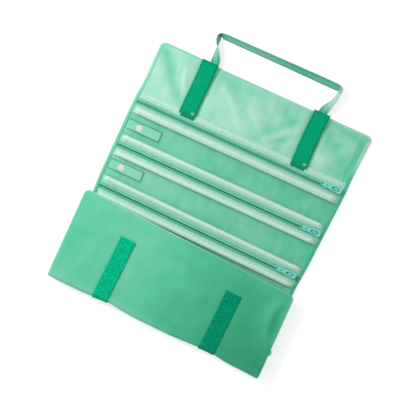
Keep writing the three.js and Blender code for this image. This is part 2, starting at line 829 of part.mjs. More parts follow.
// The flap, laid out flat as if it hung on down from the fold
function flap() {
  return [
    ...paddedPanel('flap', flapCorners),
    loopStrip('left'),
    loopStrip('right'),
    ...zipPieces('zip_4', flapCloth, flapZipPlace, 0, flapSliderInset, false),
    windowFilm('window_4', flapCloth, flapZipPlace + lowerTapeWidth, 0, flapHemPlace, 0),
    hemBand('pocket_4_hem', flapCloth, flapHemPlace, 0),
    sliderAndPull(4, flapCloth, flapZipPlace, 0, flapSliderInset),
  ];
}

const foldedFlap = groupOf([groupOf(flap(), { z: -foldHeight })], {
  z: foldHeight + flapSpineLength,
  turnX: Math.PI,
});
const foldedPart = groupOf([...lowFold(), foldedFlap], {
  x: flapFoldMiddle,
  y: sheet.y(flapFoldPlace),
  turnZ: -flapFoldSkew,
});

const jewelryRoll = groupOf([...topPanel(), ...spine(), ...basePanel(), foldedPart]);

export default jewelryRoll;
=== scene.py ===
import math
from collections import namedtuple

import bmesh
import bpy
import numpy as np
from mathutils import Matrix, Vector, noise


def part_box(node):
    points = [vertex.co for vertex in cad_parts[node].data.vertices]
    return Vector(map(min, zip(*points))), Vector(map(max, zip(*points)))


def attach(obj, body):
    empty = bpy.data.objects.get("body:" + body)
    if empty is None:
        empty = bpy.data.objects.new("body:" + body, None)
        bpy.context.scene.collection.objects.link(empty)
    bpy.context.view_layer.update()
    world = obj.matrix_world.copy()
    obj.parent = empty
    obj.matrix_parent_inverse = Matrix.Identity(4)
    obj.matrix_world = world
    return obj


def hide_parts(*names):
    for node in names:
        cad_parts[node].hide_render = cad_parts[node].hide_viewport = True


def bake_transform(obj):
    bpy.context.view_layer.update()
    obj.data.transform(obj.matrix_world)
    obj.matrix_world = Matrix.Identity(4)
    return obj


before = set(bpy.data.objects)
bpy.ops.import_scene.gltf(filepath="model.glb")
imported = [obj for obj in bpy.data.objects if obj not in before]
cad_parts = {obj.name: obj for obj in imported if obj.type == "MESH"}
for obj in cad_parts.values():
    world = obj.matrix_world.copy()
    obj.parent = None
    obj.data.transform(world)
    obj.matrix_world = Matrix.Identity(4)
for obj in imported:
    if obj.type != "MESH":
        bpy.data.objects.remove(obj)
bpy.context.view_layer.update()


# The studio: a camera straight above the roll, turned as the photograph is, over a plain pale
# floor. One broad soft lamp stands at the upper left of the picture and a weak one opposite.
PICTURE_TURN = math.radians(24.45)
AIM = Vector((-0.0066, 0.0824, 0.0))
CAMERA_HEIGHT = 0.905
camera_data = bpy.data.cameras.new("camera")
camera_data.lens = 65
camera_data.sensor_width = 36
camera_data.clip_start = 0.05
camera_data.clip_end = 20
camera = bpy.data.objects.new("camera", camera_data)
bpy.context.scene.collection.objects.link(camera)
camera.location = (AIM.x, AIM.y, CAMERA_HEIGHT)
camera.rotation_euler = (0, 0, PICTURE_TURN)
bpy.context.scene.camera = camera
bpy.context.scene.view_settings.view_transform = "Standard"


def picture_to_floor(right, up, height):
    """A place over the floor, from its place in the picture, to the right and up from the middle."""
    x = right * math.cos(PICTURE_TURN) - up * math.sin(PICTURE_TURN)
    y = right * math.sin(PICTURE_TURN) + up * math.cos(PICTURE_TURN)
    return Vector((AIM.x + x, AIM.y + y, height))


def soft_lamp(name, right, up, height, size, power):
    data = bpy.data.lights.new(name, "AREA")
    data.shape = "DISK"
    data.size = size
    data.energy = power
    data.color = (1.0, 0.995, 0.985)
    lamp = bpy.data.objects.new(name, data)
    bpy.context.scene.collection.objects.link(lamp)
    lamp.location = picture_to_floor(right, up, height)
    lamp.rotation_euler = (AIM - lamp.location).to_track_quat("-Z", "Y").to_euler()


def feed(tree, node, values):
    """Sets a node's inputs, or links them where the value is another node's output."""
    for socket, value in values.items():
        if hasattr(value, "is_output"):
            tree.links.new(value, node.inputs[socket])
        else:
            node.inputs[socket].default_value = value


def math_node(tree, operation, *values):
    node = tree.nodes.new("ShaderNodeMath")
    node.operation = operation
    feed(tree, node, dict(enumerate(values)))
    return node.outputs[0]


def new_material(name):
    """A new material, with its node tree and its shader."""
    material = bpy.data.materials.new(name)
    material.use_nodes = True
    return material, material.node_tree, material.node_tree.nodes["Principled BSDF"]


soft_lamp("key_lamp", -0.55, 0.42, 0.56, 0.34, 4.7)
soft_lamp("fill_lamp", 0.7, -0.3, 0.9, 0.9, 1.6)

world = bpy.data.worlds.new("studio_air")
bpy.context.scene.world = world
world.use_nodes = True
air = world.node_tree.nodes["Background"]
feed(world.node_tree, air, {"Color": (0.97, 0.985, 1.0, 1), "Strength": 0.56})

FLOOR_LEVEL = -0.0004
FLOOR_GLOW = 0.46
bpy.ops.mesh.primitive_plane_add(size=6, location=(AIM.x, AIM.y, FLOOR_LEVEL))
floor = bpy.context.object
floor.name = "floor"
floor_paper, paper_tree, paper_shader = new_material("floor_paper")
rays = paper_tree.nodes.new("ShaderNodeLightPath")
feed(
    paper_tree,
    paper_shader,
    {
        "Base Color": (0.8, 0.805, 0.805, 1),
        "Roughness": 0.95,
        "Specular IOR Level": 0.1,
        "Emission Color": (1, 1, 1, 1),
        "Emission Strength": math_node(paper_tree, "MULTIPLY", rays.outputs["Is Camera Ray"], FLOOR_GLOW),
    },
)
floor.data.materials.append(floor_paper)


# The outer cloth: one length of short-pile velvet, cut as a long rectangle, turned over the sides and
# both ends as a narrow hem, and folded up over itself at the low end as the flap. It is cut here in four
# lengths: the top, the spine, the base, and the flap with its half of the low fold.
MM = 0.001
ACROSS = Vector((1, 0, 0))
AHEAD = Vector((0, 1, 0))
UPWARD = Vector((0, 0, 1))
# Sizes are in millimetres. A place is how far down the flat cloth a point lies from its top edge.
TOP_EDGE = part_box("top_shell")[1].y / MM
UPPER_FOLD = 92.575
LOWER_FOLD = 67.675
SPINE_MIDDLE = (UPPER_FOLD + LOWER_FOLD) / 2
BASE_SPLIT = 10.0
TOP_HALF = 138.8
WAIST = TOP_EDGE - 200
LEFT_WAIST = -139.2
RIGHT_WAIST = 128.6
FLAP_FOLD = Vector((-8.4, -LOWER_FOLD, 0))
FLAP_SKEW = math.radians(1.86)
FLAP_HALF = 139.2
FLAP_LENGTH = 104.35
FLAP_LEAN = 3.5
FLAP_ASKEW = 0.0283
FLAP_CORNER = 6.0
FOLD_TOP = 18.2
FOLD_BULGE = 6.0
FOLD_SETBACK = -0.3
FOLD_PLACE = 309.05
FOLD_RUN = 12.0
FLAP_PLACE = 347.0
CLOTH_THICK = 0.8
HEM_SIDE = 4.5
HEM_END = 1.9
HEM_TOP = 3.4
CORNER = 7.0
LOOP_MIDDLES = (-70.5, 69.6)
FOLD_ALONG = Vector((math.cos(FLAP_SKEW), -math.sin(FLAP_SKEW), 0))
FOLD_UP = Vector((math.sin(FLAP_SKEW), math.cos(FLAP_SKEW), 0))
FOLD_LEFT = FLAP_FOLD - FOLD_ALONG * FLAP_HALF
FOLD_RIGHT = FLAP_FOLD + FOLD_ALONG * FLAP_HALF


def blended(x, x0, x1, a, b):
    """A smooth step from a to b, as x goes from x0 to x1."""
    share = min(max((x - x0) / (x1 - x0), 0), 1)
    return a + (b - a) * share * share * (3 - 2 * share)


def straight(x, x0, x1, a, b):
    return a + (b - a) * (x - x0) / (x1 - x0)


def hump(x, middle, width, power=2):
    """A smooth hump, 1 at its middle and nearly gone at two widths from it."""
    return math.exp(-(((x - middle) / width) ** power))


def left_line(y):
    """Where the cloth ends at its left, pulled flat. Its right side is drawn in at the waist."""
    if y > WAIST:
        return straight(y, TOP_EDGE, WAIST, -TOP_HALF, LEFT_WAIST)
    return straight(y, WAIST, FOLD_LEFT.y, LEFT_WAIST, FOLD_LEFT.x)


def right_line(y):
    if y > WAIST:
        return straight(y, TOP_EDGE, WAIST, TOP_HALF, RIGHT_WAIST)
    return straight(y, WAIST, FOLD_RIGHT.y, RIGHT_WAIST, FOLD_RIGHT.x)


def spread(y, high, low):
    """How far the soft cloth spreads past that line, more beside the pockets than at the top."""
    return blended(y, 192, 162, high, low) * blended(y, BASE_SPLIT, 70, 0, 1)


def left_side(y):
    return left_line(y) - spread(y, 1.4, 3.3)


def right_side(y):
    return right_line(y) + spread(y, 0.8, 2.1)


def soft_noise(x, y, size, seed):
    return noise.noise(Vector((x / size, y / size, seed)))


def beside_dent(across, up):
    """How far a place lies to the right of the curved line that the flap's dent follows."""
    return across - 124.6 - 0.009 * (up - 71) ** 2


def flap_dent(across, up):
    """The long dent near the flap's right side, where zip 4's pull holds the cloth off the table."""
    off = beside_dent(across, up)
    return hump(off, 0, 2.4 if off < 0 else 5) * hump(up, 66, 21)


def flap_ridge(across, up):
    """The soft ridge that the cloth makes along the left of the dent."""
    return hump(beside_dent(across, up), -8, 5.5) * hump(up, 64, 25)


def flap_swell(across, up):
    """How far the flap's outside stands off its flat place: soft waves and a dent at the right."""
    edge = min((139 - abs(across)) / 18, 1)
    waves = 0.9 * soft_noise(across + 0.5 * up, up, 46, 3.1) + 0.35 * soft_noise(across, up, 17, 8.4)
    dent = -0.9 * flap_dent(across, up)
    ridge = 0.7 * flap_ridge(across, up)
    crease = -0.5 * hump(up - 0.06 * across, 83, 3.5) * hump(across, -122, 18)
    under_strip = max(hump(across, middle, 15, 4) for middle in LOOP_MIDDLES)
    swell = waves * (1 - 0.75 * under_strip) + dent + ridge + crease
    return max(swell * max(edge, 0.25), -1.7)


def fold_pull(across, place):
    """How far the stiff loop strips draw the low fold in, which leaves it wavy from above."""
    drawn = 2.4 * hump(across, -62, 24) + 3.1 * hump(across, 68, 26)
    drawn += 0.5 * soft_noise(across, 0, 26, 4.4)
    return drawn * blended(place, 300, 320, 0, 1) * blended(place, 336, 372, 1, 0)


def top_swell(x, place):
    """How far the top edge stands out ahead, towards the left corner."""
    return blended(x, -60, -98, 0, 1.8) * blended(place, 26, 3, 0, 1)


BASE_PLACE = 250.0
FLAP_HEAD = 330.0


def settled(point, place, share=1.0):
    """Where a point of the cloth really lies: with the top edge's swell down to the base, and from
    there on with the wavy low fold and the flap's waves."""
    if place < BASE_PLACE:
        return point + AHEAD * top_swell(point.x, place)
    away = point - FLAP_FOLD
    across, up = away.dot(FOLD_ALONG), away.dot(FOLD_UP)
    lift = 0.0
    if place > FLAP_HEAD:
        lift = share * flap_swell(across, up) * min(max((up + 4) / 14, 0), 1)
    return point + FOLD_UP * fold_pull(across, place) + UPWARD * lift


# Each row across the cloth gives its two side points, the way into the cloth at each side, the way
# through its thickness, and its place down the cloth for the pattern.
Row = namedtuple("Row", "left right into_left into_right through place")


def flat_rows(ys):
    return [
        Row(
            Vector((left_side(y), y, 0)),
            Vector((right_side(y), y, 0)),
            ACROSS,
            -ACROSS,
            UPWARD,
            TOP_EDGE - y,
        )
        for y in ys
    ]


def corner_rows(left, right, along, up, radius, through, place, steps):
    """Rows that round the two corners of a free end. The first one is the end itself."""
    rows = []
    for i in range(steps):
        angle = math.radians(90 * (1 - i / steps))
        side = radius * (1 - math.cos(angle))
        down = radius * (1 - math.sin(angle))
        rows.append(
            Row(
                left + along * side - up * down,
                right - along * side - up * down,
                along * math.cos(angle) - up * math.sin(angle),
                -along * math.cos(angle) - up * math.sin(angle),
                through,
                place + down,
            )
        )
    return rows


def fold_point(across, up, height):
    at = FLAP_FOLD + FOLD_ALONG * across + FOLD_UP * up
    return Vector((at.x, at.y, height))


def bulge_point(across, angle):
    """A point on the outside of the low fold: the underside at -90 degrees, the flap's top at 90."""
    height = FOLD_TOP / 2 * (1 + math.sin(angle))
    return fold_point(across, FOLD_SETBACK - FOLD_BULGE * math.cos(angle), height)


def bulge_inward(angle):
    inward = FOLD_UP * (math.cos(angle) / FOLD_BULGE) - UPWARD * (math.sin(angle) / (FOLD_TOP / 2))
    return inward.normalized()


def bulge_place(angle):
    return FOLD_PLACE + FOLD_RUN * (angle + math.pi / 2)


def bulge_rows(first, last, steps):
    """Rows round the low fold, between two angles in degrees."""
    rows = []
    for i in range(steps + 1):
        angle = math.radians(first + (last - first) * i / steps)
        rows.append(
            Row(
                bulge_point(-FLAP_HALF, angle),
                bulge_point(FLAP_HALF, angle),
                FOLD_ALONG,
                -FOLD_ALONG,
                bulge_inward(angle),
                bulge_place(angle),
            )
        )
    return rows


def slanted_rows(shares):
    """Rows that turn from straight across at the base's split to the slant of the low fold."""
    rows = []
    top_left = Vector((left_side(BASE_SPLIT), BASE_SPLIT, 0))
    top_right = Vector((right_side(BASE_SPLIT), BASE_SPLIT, 0))
    for share in shares:
        left = top_left.lerp(fold_point(-FLAP_HALF, FOLD_SETBACK, 0), share)
        right = top_right.lerp(fold_point(FLAP_HALF, FOLD_SETBACK, 0), share)
        rows.append(Row(left, right, ACROSS, -ACROSS, UPWARD, TOP_EDGE - (left.y + right.y) / 2))
    return rows


def flap_rows(ups):
    """Rows up the flap. It leans to the left, and its free end lies a little askew to the fold."""
    rows = []
    for up in ups:
        lean = FLAP_LEAN * up / FLAP_LENGTH
        left = fold_point(-FLAP_HALF - lean, up * (1 + FLAP_ASKEW), FOLD_TOP)
        right = fold_point(FLAP_HALF - lean, up * (1 - FLAP_ASKEW), FOLD_TOP)
        rows.append(Row(left, right, FOLD_ALONG, -FOLD_ALONG, -UPWARD, FLAP_PLACE + up))
    return rows


def spaced(start, end, step):
    count = max(2, round(abs(end - start) / step) + 1)
    return list(np.linspace(start, end, count))


def top_end_rows(proud, steps):
    """The top edge with its two rounded corners, as far ahead of the cut line as it stands proud."""
    left = Vector((left_side(TOP_EDGE), TOP_EDGE + proud, 0))
    right = Vector((right_side(TOP_EDGE), TOP_EDGE + proud, 0))
    return corner_rows(left, right, ACROSS, AHEAD, CORNER, UPWARD, 0, steps)


def flap_end_rows(proud, steps):
    """The flap's free end with its two rounded corners."""
    end = flap_rows([FLAP_LENGTH])[0]
    left, right = end.left + FOLD_UP * proud, end.right + FOLD_UP * proud
    place = FLAP_PLACE + FLAP_LENGTH
    return corner_rows(left, right, FOLD_ALONG, FOLD_UP, FLAP_CORNER, -UPWARD, place, steps)


top_rows = top_end_rows(0, 7)
top_rows += flat_rows(
    spaced(TOP_EDGE - CORNER, UPPER_FOLD + 4, 4) + spaced(UPPER_FOLD + 3, SPINE_MIDDLE, 1)
)
spine_rows = flat_rows(
    spaced(SPINE_MIDDLE, LOWER_FOLD - 3, 1) + spaced(LOWER_FOLD - 6, BASE_SPLIT, 4)
)
base_rows = slanted_rows([i / 18 for i in range(16)] + [0.86, 0.89, 0.92, 0.94, 0.96, 0.98])
base_rows += bulge_rows(-90, 0, 12)
flap_all_rows = flap_end_rows(0, 6)
flap_all_rows += flap_rows(spaced(FLAP_LENGTH - FLAP_CORNER, 4, 3.2) + [3, 2, 1])
flap_all_rows += bulge_rows(90, 0, 12)

# The turned hem, from its inner edge out over the side and under to the outside: how far in from
# the side, and how far through the thickness.
HEM_FLAT = 1.5
HEM_TURN = [
    (HEM_SIDE, HEM_TOP - 0.15),
    (HEM_SIDE - 0.5, HEM_TOP),
    (HEM_SIDE - 1.6, HEM_TOP + 0.12),
    (HEM_FLAT, HEM_TOP),
    (0.7, 3.05),
    (0.15, 2.4),
    (0, 1.65),
    (0.2, 0.85),
    (0.8, 0.22),
    (1.9, 0),
]


def grid_faces(long, wide, turned=False):
    """The faces of a grid of points that has long rows of wide points. Turned, they face down."""
    corners = (0, wide, wide + 1, 1) if turned else (0, 1, wide + 1, wide)
    return [
        tuple(i * wide + j + corner for corner in corners)
        for i in range(long - 1)
        for j in range(wide - 1)
    ]


def turned_cloth(name, rows, columns, free_end, flip):
    """The outer cloth's mesh: rows across, each with its turned hem at both sides, and a turned
    hem over the free end where there is one."""
    rims = len(HEM_TURN)
    verts, uvs, naps_and_light = [], [], []

    def add(point, u, v, hem, rim=0.0):
        verts.append(point * MM)
        uvs.append((u * MM, v * MM))
        naps_and_light.append(outer_nap_and_light(u, v, hem, rim))
        return len(verts) - 1

    def rim_point(at, into, through, k, place, side):
        """A point of the turned hem, which is narrower over an end than over a side."""
        inset, depth = HEM_TURN[k]
        if inset > HEM_FLAT and depth > 0:
            over_end = abs(into.normalized().dot(AHEAD))
            inset = HEM_FLAT + (inset - HEM_FLAT) * (1 - over_end * (1 - HEM_END / HEM_SIDE))
        point = settled(at, place) + into * inset + through * depth
        rim = 1.0 if inset < 1 else 0.0
        return add(point, at.x + side * (inset - 2 * depth), place, depth > 1, rim)

    for row in rows:
        for k in range(rims):
            rim_point(row.left, row.into_left, row.through, k, row.place, 1)
        start = row.left + row.into_left * HEM_TURN[-1][0]
        end = row.right + row.into_right * HEM_TURN[-1][0]
        for j in range(1, columns):
            point = start.lerp(end, j / columns)
            add(settled(point, row.place), point.x, row.place, False)
        for k in reversed(range(rims)):
            rim_point(row.right, row.into_right, row.through, k, row.place, -1)
    wide = rims * 2 + columns - 1
    faces = grid_faces(len(rows), wide)
    if free_end:
        first = rows[0]
        over = {}
        for j in range(columns + 1):
            for k in range(rims):
                if j == 0:
                    over[j, k] = k
                elif j == columns:
                    over[j, k] = wide - 1 - k
                elif k == rims - 1:
                    over[j, k] = rims - 1 + j
                else:
                    at = first.left.lerp(first.right, j / columns)
                    over[j, k] = rim_point(at, first.into_left, first.through, k, first.place, 0)
        faces += [
            (over[j, k], over[j + 1, k], over[j + 1, k + 1], over[j, k + 1])
            for j in range(columns)
            for k in range(rims - 1)
        ]
    if flip:
        faces = [face[::-1] for face in faces]
    return sheet_piece(name, verts, faces, uvs, CLOTH_THICK * MM, naps_and_light)


def made_current(piece):
    bpy.ops.object.select_all(action="DESELECT")
    piece.select_set(True)
    bpy.context.view_layer.objects.active = piece


def laid_out_mesh(name, verts, faces, uvs, naps_and_light=None):
    """A mesh with its flat pattern as UV and, on velvet, the tone painted on each point, which holds the
    pile's sheen and painted light and shade.
    """
    mesh = bpy.data.meshes.new(name)
    mesh.from_pydata([tuple(v) for v in verts], [], faces)
    flat = mesh.uv_layers.new(name="flat")
    flat.data.foreach_set("uv", np.array([uvs[loop.vertex_index] for loop in mesh.loops]).ravel())
    if naps_and_light:
        mesh.attributes.new("nap_and_light", "FLOAT", "POINT").data.foreach_set("value", naps_and_light)
    mesh.shade_smooth()
    piece = bpy.data.objects.new(name, mesh)
    bpy.context.scene.collection.objects.link(piece)
    return piece


def sheet_piece(name, verts, faces, uvs, thick, naps_and_light=None):
    """A cloth or film of real thickness, laid through the given points, which are its outside."""
    piece = laid_out_mesh(name, verts, faces, uvs, naps_and_light)
    solid = piece.modifiers.new("thickness", "SOLIDIFY")
    solid.thickness = thick
    solid.offset = -1
    made_current(piece)
    bpy.ops.object.modifier_apply(modifier="thickness")
    bpy.ops.object.shade_smooth_by_angle(angle=math.radians(70))
    return piece


def noise_node(tree, vector, scale, detail, stretch=(1, 1, 1), turn=0.0, rough=0.5):
    mapping = tree.nodes.new("ShaderNodeMapping")
    feed(tree, mapping, {"Scale": stretch, "Rotation": (0, 0, turn), "Vector": vector})
    texture = tree.nodes.new("ShaderNodeTexNoise")
    values = {"Scale": scale, "Detail": detail, "Roughness": rough}
    feed(tree, texture, values | {"Vector": mapping.outputs["Vector"]})
    return texture.outputs["Fac"]


def range_node(tree, value, low, high, to_low, to_high, smooth=False):
    node = tree.nodes.new("ShaderNodeMapRange")
    if smooth:
        node.interpolation_type = "SMOOTHSTEP"
    values = {"From Min": low, "From Max": high, "To Min": to_low, "To Max": to_high}
    feed(tree, node, values | {"Value": value})
    return node.outputs["Result"]


def mixed_colour(tree, share, first, second):
    node = tree.nodes.new("ShaderNodeMix")
    node.data_type = "RGBA"
    feed(tree, node, {"Factor": share, 6: first, 7: second})
    return node.outputs[2]


def scaled_colour(tree, colour, amount):
    node = tree.nodes.new("ShaderNodeVectorMath")
    node.operation = "SCALE"
    feed(tree, node, {0: colour, "Scale": amount})
    return node.outputs["Vector"]


def colour_ramp(tree, share, stops):
    """A colour that changes with a share from 0 to 1. Stops are (share, colour), in their order."""
    ramp = tree.nodes.new("ShaderNodeValToRGB")
    elements = ramp.color_ramp.elements
    elements[0].position, elements[0].color = stops[0]
    elements[1].position, elements[1].color = stops[-1]
    for position, colour in stops[1:-1]:
        elements.new(position).color = colour
    feed(tree, ramp, {"Fac": share})
    return ramp.outputs["Color"]


def srgb(r, g, b):
    parts = [c / 255 for c in (r, g, b)]
    return tuple(c / 12.92 if c <= 0.04045 else ((c + 0.055) / 1.055) ** 2.4 for c in parts) + (1.0,)


def new_group(name, inputs, outputs):
    """A node group, with the nodes that hold what it is given and what it puts out."""
    group = bpy.data.node_groups.new(name, "ShaderNodeTree")
    for title, kind, value in inputs:
        socket = group.interface.new_socket(title, in_out="INPUT", socket_type=kind)
        if value is not None:
            socket.default_value = value
    for title, kind in outputs:
        group.interface.new_socket(title, in_out="OUTPUT", socket_type=kind)
    return group, group.nodes.new("NodeGroupInput"), group.nodes.new("NodeGroupOutput")


def flat_pattern(tree):
    """A place on the flat cloth, so that a pattern bends with the piece."""
    flat = tree.nodes.new("ShaderNodeUVMap")
    flat.uv_map = "flat"
    return flat.outputs["UV"]


def bumped(tree, height, strength, distance):
    bump = tree.nodes.new("ShaderNodeBump")
    feed(tree, bump, {"Strength": strength, "Distance": distance, "Height": height})
    return bump.outputs["Normal"]


# The pile of the velvet. It is one dye all over, and a tone from deep to pale is painted on it from an
# attribute on its points, which holds the sheen of the pile and painted light and shade. Brushed patches,
# streaks and the grain of the fibres are added here, laid out on the flat cloth so that they bend with
# it.
def pile_group():
    group, given, out = new_group(
        "velvet_pile",
        [
            ("Cloth", "NodeSocketVector", None),
            ("Nap_and_light", "NodeSocketFloat", 0.5),
            ("Patches", "NodeSocketFloat", 0.2),
        ],
        [("Color", "NodeSocketColor"), ("Height", "NodeSocketFloat"), ("Roughness", "NodeSocketFloat")],
    )
    cloth = given.outputs["Cloth"]
    patches = noise_node(group, cloth, 17, 3, (0.7, 1.2, 1), math.radians(38))
    streaks = noise_node(group, cloth, 110, 3, (1.0, 0.3, 1), math.radians(-30))
    fibres = noise_node(group, cloth, 1700, 2, (1, 0.45, 1), 0, 0.65)
    brushed = range_node(group, patches, 0.3, 0.7, -0.5, 0.5, True)
    streaked = range_node(group, streaks, 0.3, 0.7, -0.34, 0.34)
    both = math_node(group, "ADD", brushed, streaked)
    lies = math_node(group, "MULTIPLY_ADD", both, given.outputs["Patches"], given.outputs["Nap_and_light"])
    tones = [
        (0.0, srgb(52, 148, 110)),
        (0.25, srgb(63, 171, 128)),
        (0.5, srgb(90, 197, 154)),
        (0.75, srgb(132, 211, 181)),
        (1.0, srgb(174, 224, 203)),
    ]
    speck = range_node(group, fibres, 0.25, 0.75, 0.9, 1.1)
    results = {
        "Color": scaled_colour(group, colour_ramp(group, lies, tones), speck),
        "Height": math_node(group, "MULTIPLY_ADD", fibres, 0.6, streaks),
        "Roughness": range_node(group, lies, 0, 1, 0.95, 0.82),
    }
    feed(group, out, results)
    return group


velvet_pile = pile_group()


def velvet_material(name, patches, sheen):
    material, tree, shader = new_material(name)
    nap_and_light = tree.nodes.new("ShaderNodeAttribute")
    nap_and_light.attribute_name = "nap_and_light"
    pile = tree.nodes.new("ShaderNodeGroup")
    pile.node_tree = velvet_pile
    feed(tree, pile, {"Patches": patches, "Cloth": flat_pattern(tree), "Nap_and_light": nap_and_light.outputs["Fac"]})
    finish = {
        "Base Color": pile.outputs["Color"],
        "Roughness": pile.outputs["Roughness"],
        "Normal": bumped(tree, pile.outputs["Height"], 0.3, 0.0004),
        "Specular IOR Level": 0.12,
        "Sheen Weight": sheen,
        "Sheen Roughness": 0.5,
        "Sheen Tint": srgb(214, 236, 228),
    }
    feed(tree, shader, finish)
    return material


BASE_END = 300.0
UNDER_NAP = 0.42


def outer_nap_and_light(x, place, hem, rim=0.0):
    """The outer cloth's painted tone, which holds the pile's sheen and painted light and shade: pale on
    the top panel's hem and deeper beside the pockets and on the flap, with a painted sheen where it
    breaks over an edge. The rim is 1 at the very edge of the cloth."""
    if place > BASE_END:
        up = max(place - FLAP_PLACE, 0)
        across = x - FLAP_FOLD.x - math.sin(FLAP_SKEW) * up
        # Painted light and shade over the flap: lighter to the left, darker to the right and most at its
        # lower right, and lighter towards its free end.
        tone = blended(across, -60, 80, 0.55, 0.22)
        tone -= 0.15 * blended(across, 55, 110, 0, 1) * blended(up, 8, 60, 1, 0)
        tone += 0.12 * min(up / 104, 1) * blended(across, -60, 60, 0.2, 1)
        # A painted highlight along the ridge and painted shade in the dent.
        tone += 0.13 * flap_ridge(across, up) - 0.2 * flap_dent(across, up)
        tone += 0.05 * soft_noise(across, up, 15, 7.7)
        # A painted sheen along the flap's right edge.
        tone += 0.14 * blended(across, 129, 134, 0, 1) * blended(up, 30, 50, 0, 1)
        tone = UNDER_NAP + (tone - UNDER_NAP) * blended(place, 306, 340, 0, 1)
        # A painted sheen at the rim, and painted light on the face of the low fold.
        return tone + 0.22 * rim + 0.2 * hump(place, 338, 9)
    if not hem:
        # A painted sheen at the rim.
        return UNDER_NAP + 0.2 * rim
    if x < 0:
        tone = blended(place, 40, 85, 0.82, 0.62) - 0.04 * min(max(place - 100, 0), 40) / 40
    else:
        tone = blended(place, 32, 62, 0.96, 0.46) - 0.08 * min(max(place - 66, 0), 40) / 40
    # A painted sheen at the rim.
    return tone + 0.12 * rim


outer_velvet = velvet_material("outer_velvet", 0.06, 0.07)

outer_top = turned_cloth("outer_cloth_top", top_rows, 56, True, False)
outer_spine = turned_cloth("outer_cloth_spine", spine_rows, 56, False, False)
outer_base = turned_cloth("outer_cloth_base", base_rows, 56, False, False)
outer_flap = turned_cloth("outer_cloth_flap", flap_all_rows, 84, True, True)
for piece in (outer_top, outer_spine, outer_base, outer_flap):
    piece.data.materials.append(outer_velvet)


def bend_over_upper_fold(piece):
    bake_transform(piece)


def bend_over_lower_fold(piece):
    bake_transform(piece)


def bend_over_flap_foot(piece):
    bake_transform(piece)


def bend_over_flap_head(piece):
    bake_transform(piece)


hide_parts("top_shell")
bend_over_upper_fold(outer_top)
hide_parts("spine_shell")
bend_over_lower_fold(outer_spine)
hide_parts("base_shell", "low_fold_shell")
bend_over_flap_foot(outer_base)
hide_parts("flap_shell")
bend_over_flap_head(outer_flap)


# The quilted lining: paler velvet over thin foam, sewn in under the hem. It lies flat under the
# pockets, and on the top panel it is rumpled between the straps and the corners.
QUILT_INSET = 4.4
QUILT_FLOOR = 0.9
LINING_TOP = 3.0
LINING_PROUD = 2.7
UNDER_HEM = 2.7
UNDER_LEFT_HEM = 3.1
LEFT_HEM_END = 68
STRAP_MIDDLES = (-75.7, 70.8)
RUMPLED_END = 62.0
POCKET_START = 75.0
CREASES = [
    # across and down the cloth at one end, the same at the other end, width, height
    (-131, 6, -93, 56, 5.5, -1.0),
    (-116, 4, -86, 40, 7, 0.7),
    (-128, 30, -112, 56, 8, 0.5),
    (-110, 60, -96, 26, 7, 0.5),
    (-60, 8, -20, 22, 8, -0.6),
    (-52, 16, -8, 58, 5, 0.75),
    (-47, 7, -6, 11, 5, -0.5),
    (-40, 14, 6, 46, 6, -0.25),
    (-43, 29, -27, 46, 1.8, -0.55),
    (-36, 26, -18, 47, 2.2, 0.4),
    (-6, 18, 8, 50, 9, 0.5),
    (28, 12, 50, 27, 8, -0.6),
    (34, 60, 46, 44, 5, -0.6),
    (-24, 52, -14, 28, 2, -0.45),
    (-10, 30, 28, 62, 4, 0.55),
    (6, 10, 40, 40, 8, 0.6),
    (20, 58, 56, 24, 6, 0.8),
    (10, 60, 48, 22, 6, -0.9),
    (22, 61, 44, 45, 3, -0.5),
    (32, 60, 52, 46, 2, 0.45),
    (44, 60, 58, 44, 5, 0.5),
    (86, 16, 118, 44, 7, -0.8),
    (90, 60, 128, 18, 8, 0.9),
    (98, 40, 130, 62, 5, 0.2),
    (104, 40, 119, 60, 7, -0.35),
    (84, 40, 96, 60, 4, 0.4),
    (87, 4, 127, 11, 4, -0.7),
    (130, 12, 127.5, 60, 3, -0.9),
    (100, 22, 124, 14, 2.4, 0.4),
    (88, 30, 112, 24, 2, -0.4),
    (-104, 20, -94, 52, 2.2, -0.5),
    (-99, 18, -89, 46, 1.8, 0.4),
    (-133, 12, -116, 8, 3, -0.5),
]


def crease_height(x, place):
    """The height of the creases at a place across and down the cloth."""
    total = 0.0
    for x0, place0, x1, place1, width, height in CREASES:
        along = Vector((x1 - x0, place1 - place0))
        away = Vector((x - x0, place - place0))
        share = away.dot(along) / along.length_squared
        off = abs(away.x * along.y - away.y * along.x) / along.length
        past_end = max(0, abs(share - 0.5) - 0.35)
        total += height * hump(off, 0, width) * hump(past_end, 0, 0.22)
    return total


def lining_depth(x, place):
    """The lining's height over the underside of the cloth. It is rumpled on the top panel, except
    under the two hook straps."""
    if place > RUMPLED_END:
        return LINING_TOP - 0.12 + 0.12 * soft_noise(x, place, 14, 1.7)
    open_cloth = 1 - max(hump(x, middle, 14, 6) for middle in STRAP_MIDDLES)
    rumple = 0.5 * soft_noise(x, place, 24, 5.2) + 0.2 * soft_noise(x, place, 9, 2.2)
    rumple = (0.55 + rumple + 1.15 * crease_height(x, place)) * open_cloth
    return LINING_TOP + rumple * blended(place, 50, RUMPLED_END, 1, 0) * blended(place, 1, 9, 0.15, 1)


def lining_nap_and_light(x, place):
    """The lining's painted tone: pale on the top panel and deeper on the pockets' floors, with painted
    shade towards the right, and painted shade in the creases' hollows and painted light on their ridges.
    """
    side = (x + 5) / 134
    # Painted shade towards the right.
    floor = 0.6 - 0.06 * side + 0.07 * soft_noise(x, place, 16, 6.3)
    if place > FLAP_HEAD:
        return 0.4
    if place > POCKET_START:
        return floor + blended(place, 190, 210, 0, 0.1)
    # Painted shade towards the right, and painted shade and light from the creases.
    tone = 0.86 - 0.06 * side - 0.08 * max(0, side) ** 3 + 0.17 * crease_height(x, place)
    return blended(place, 66, POCKET_START, tone, floor)


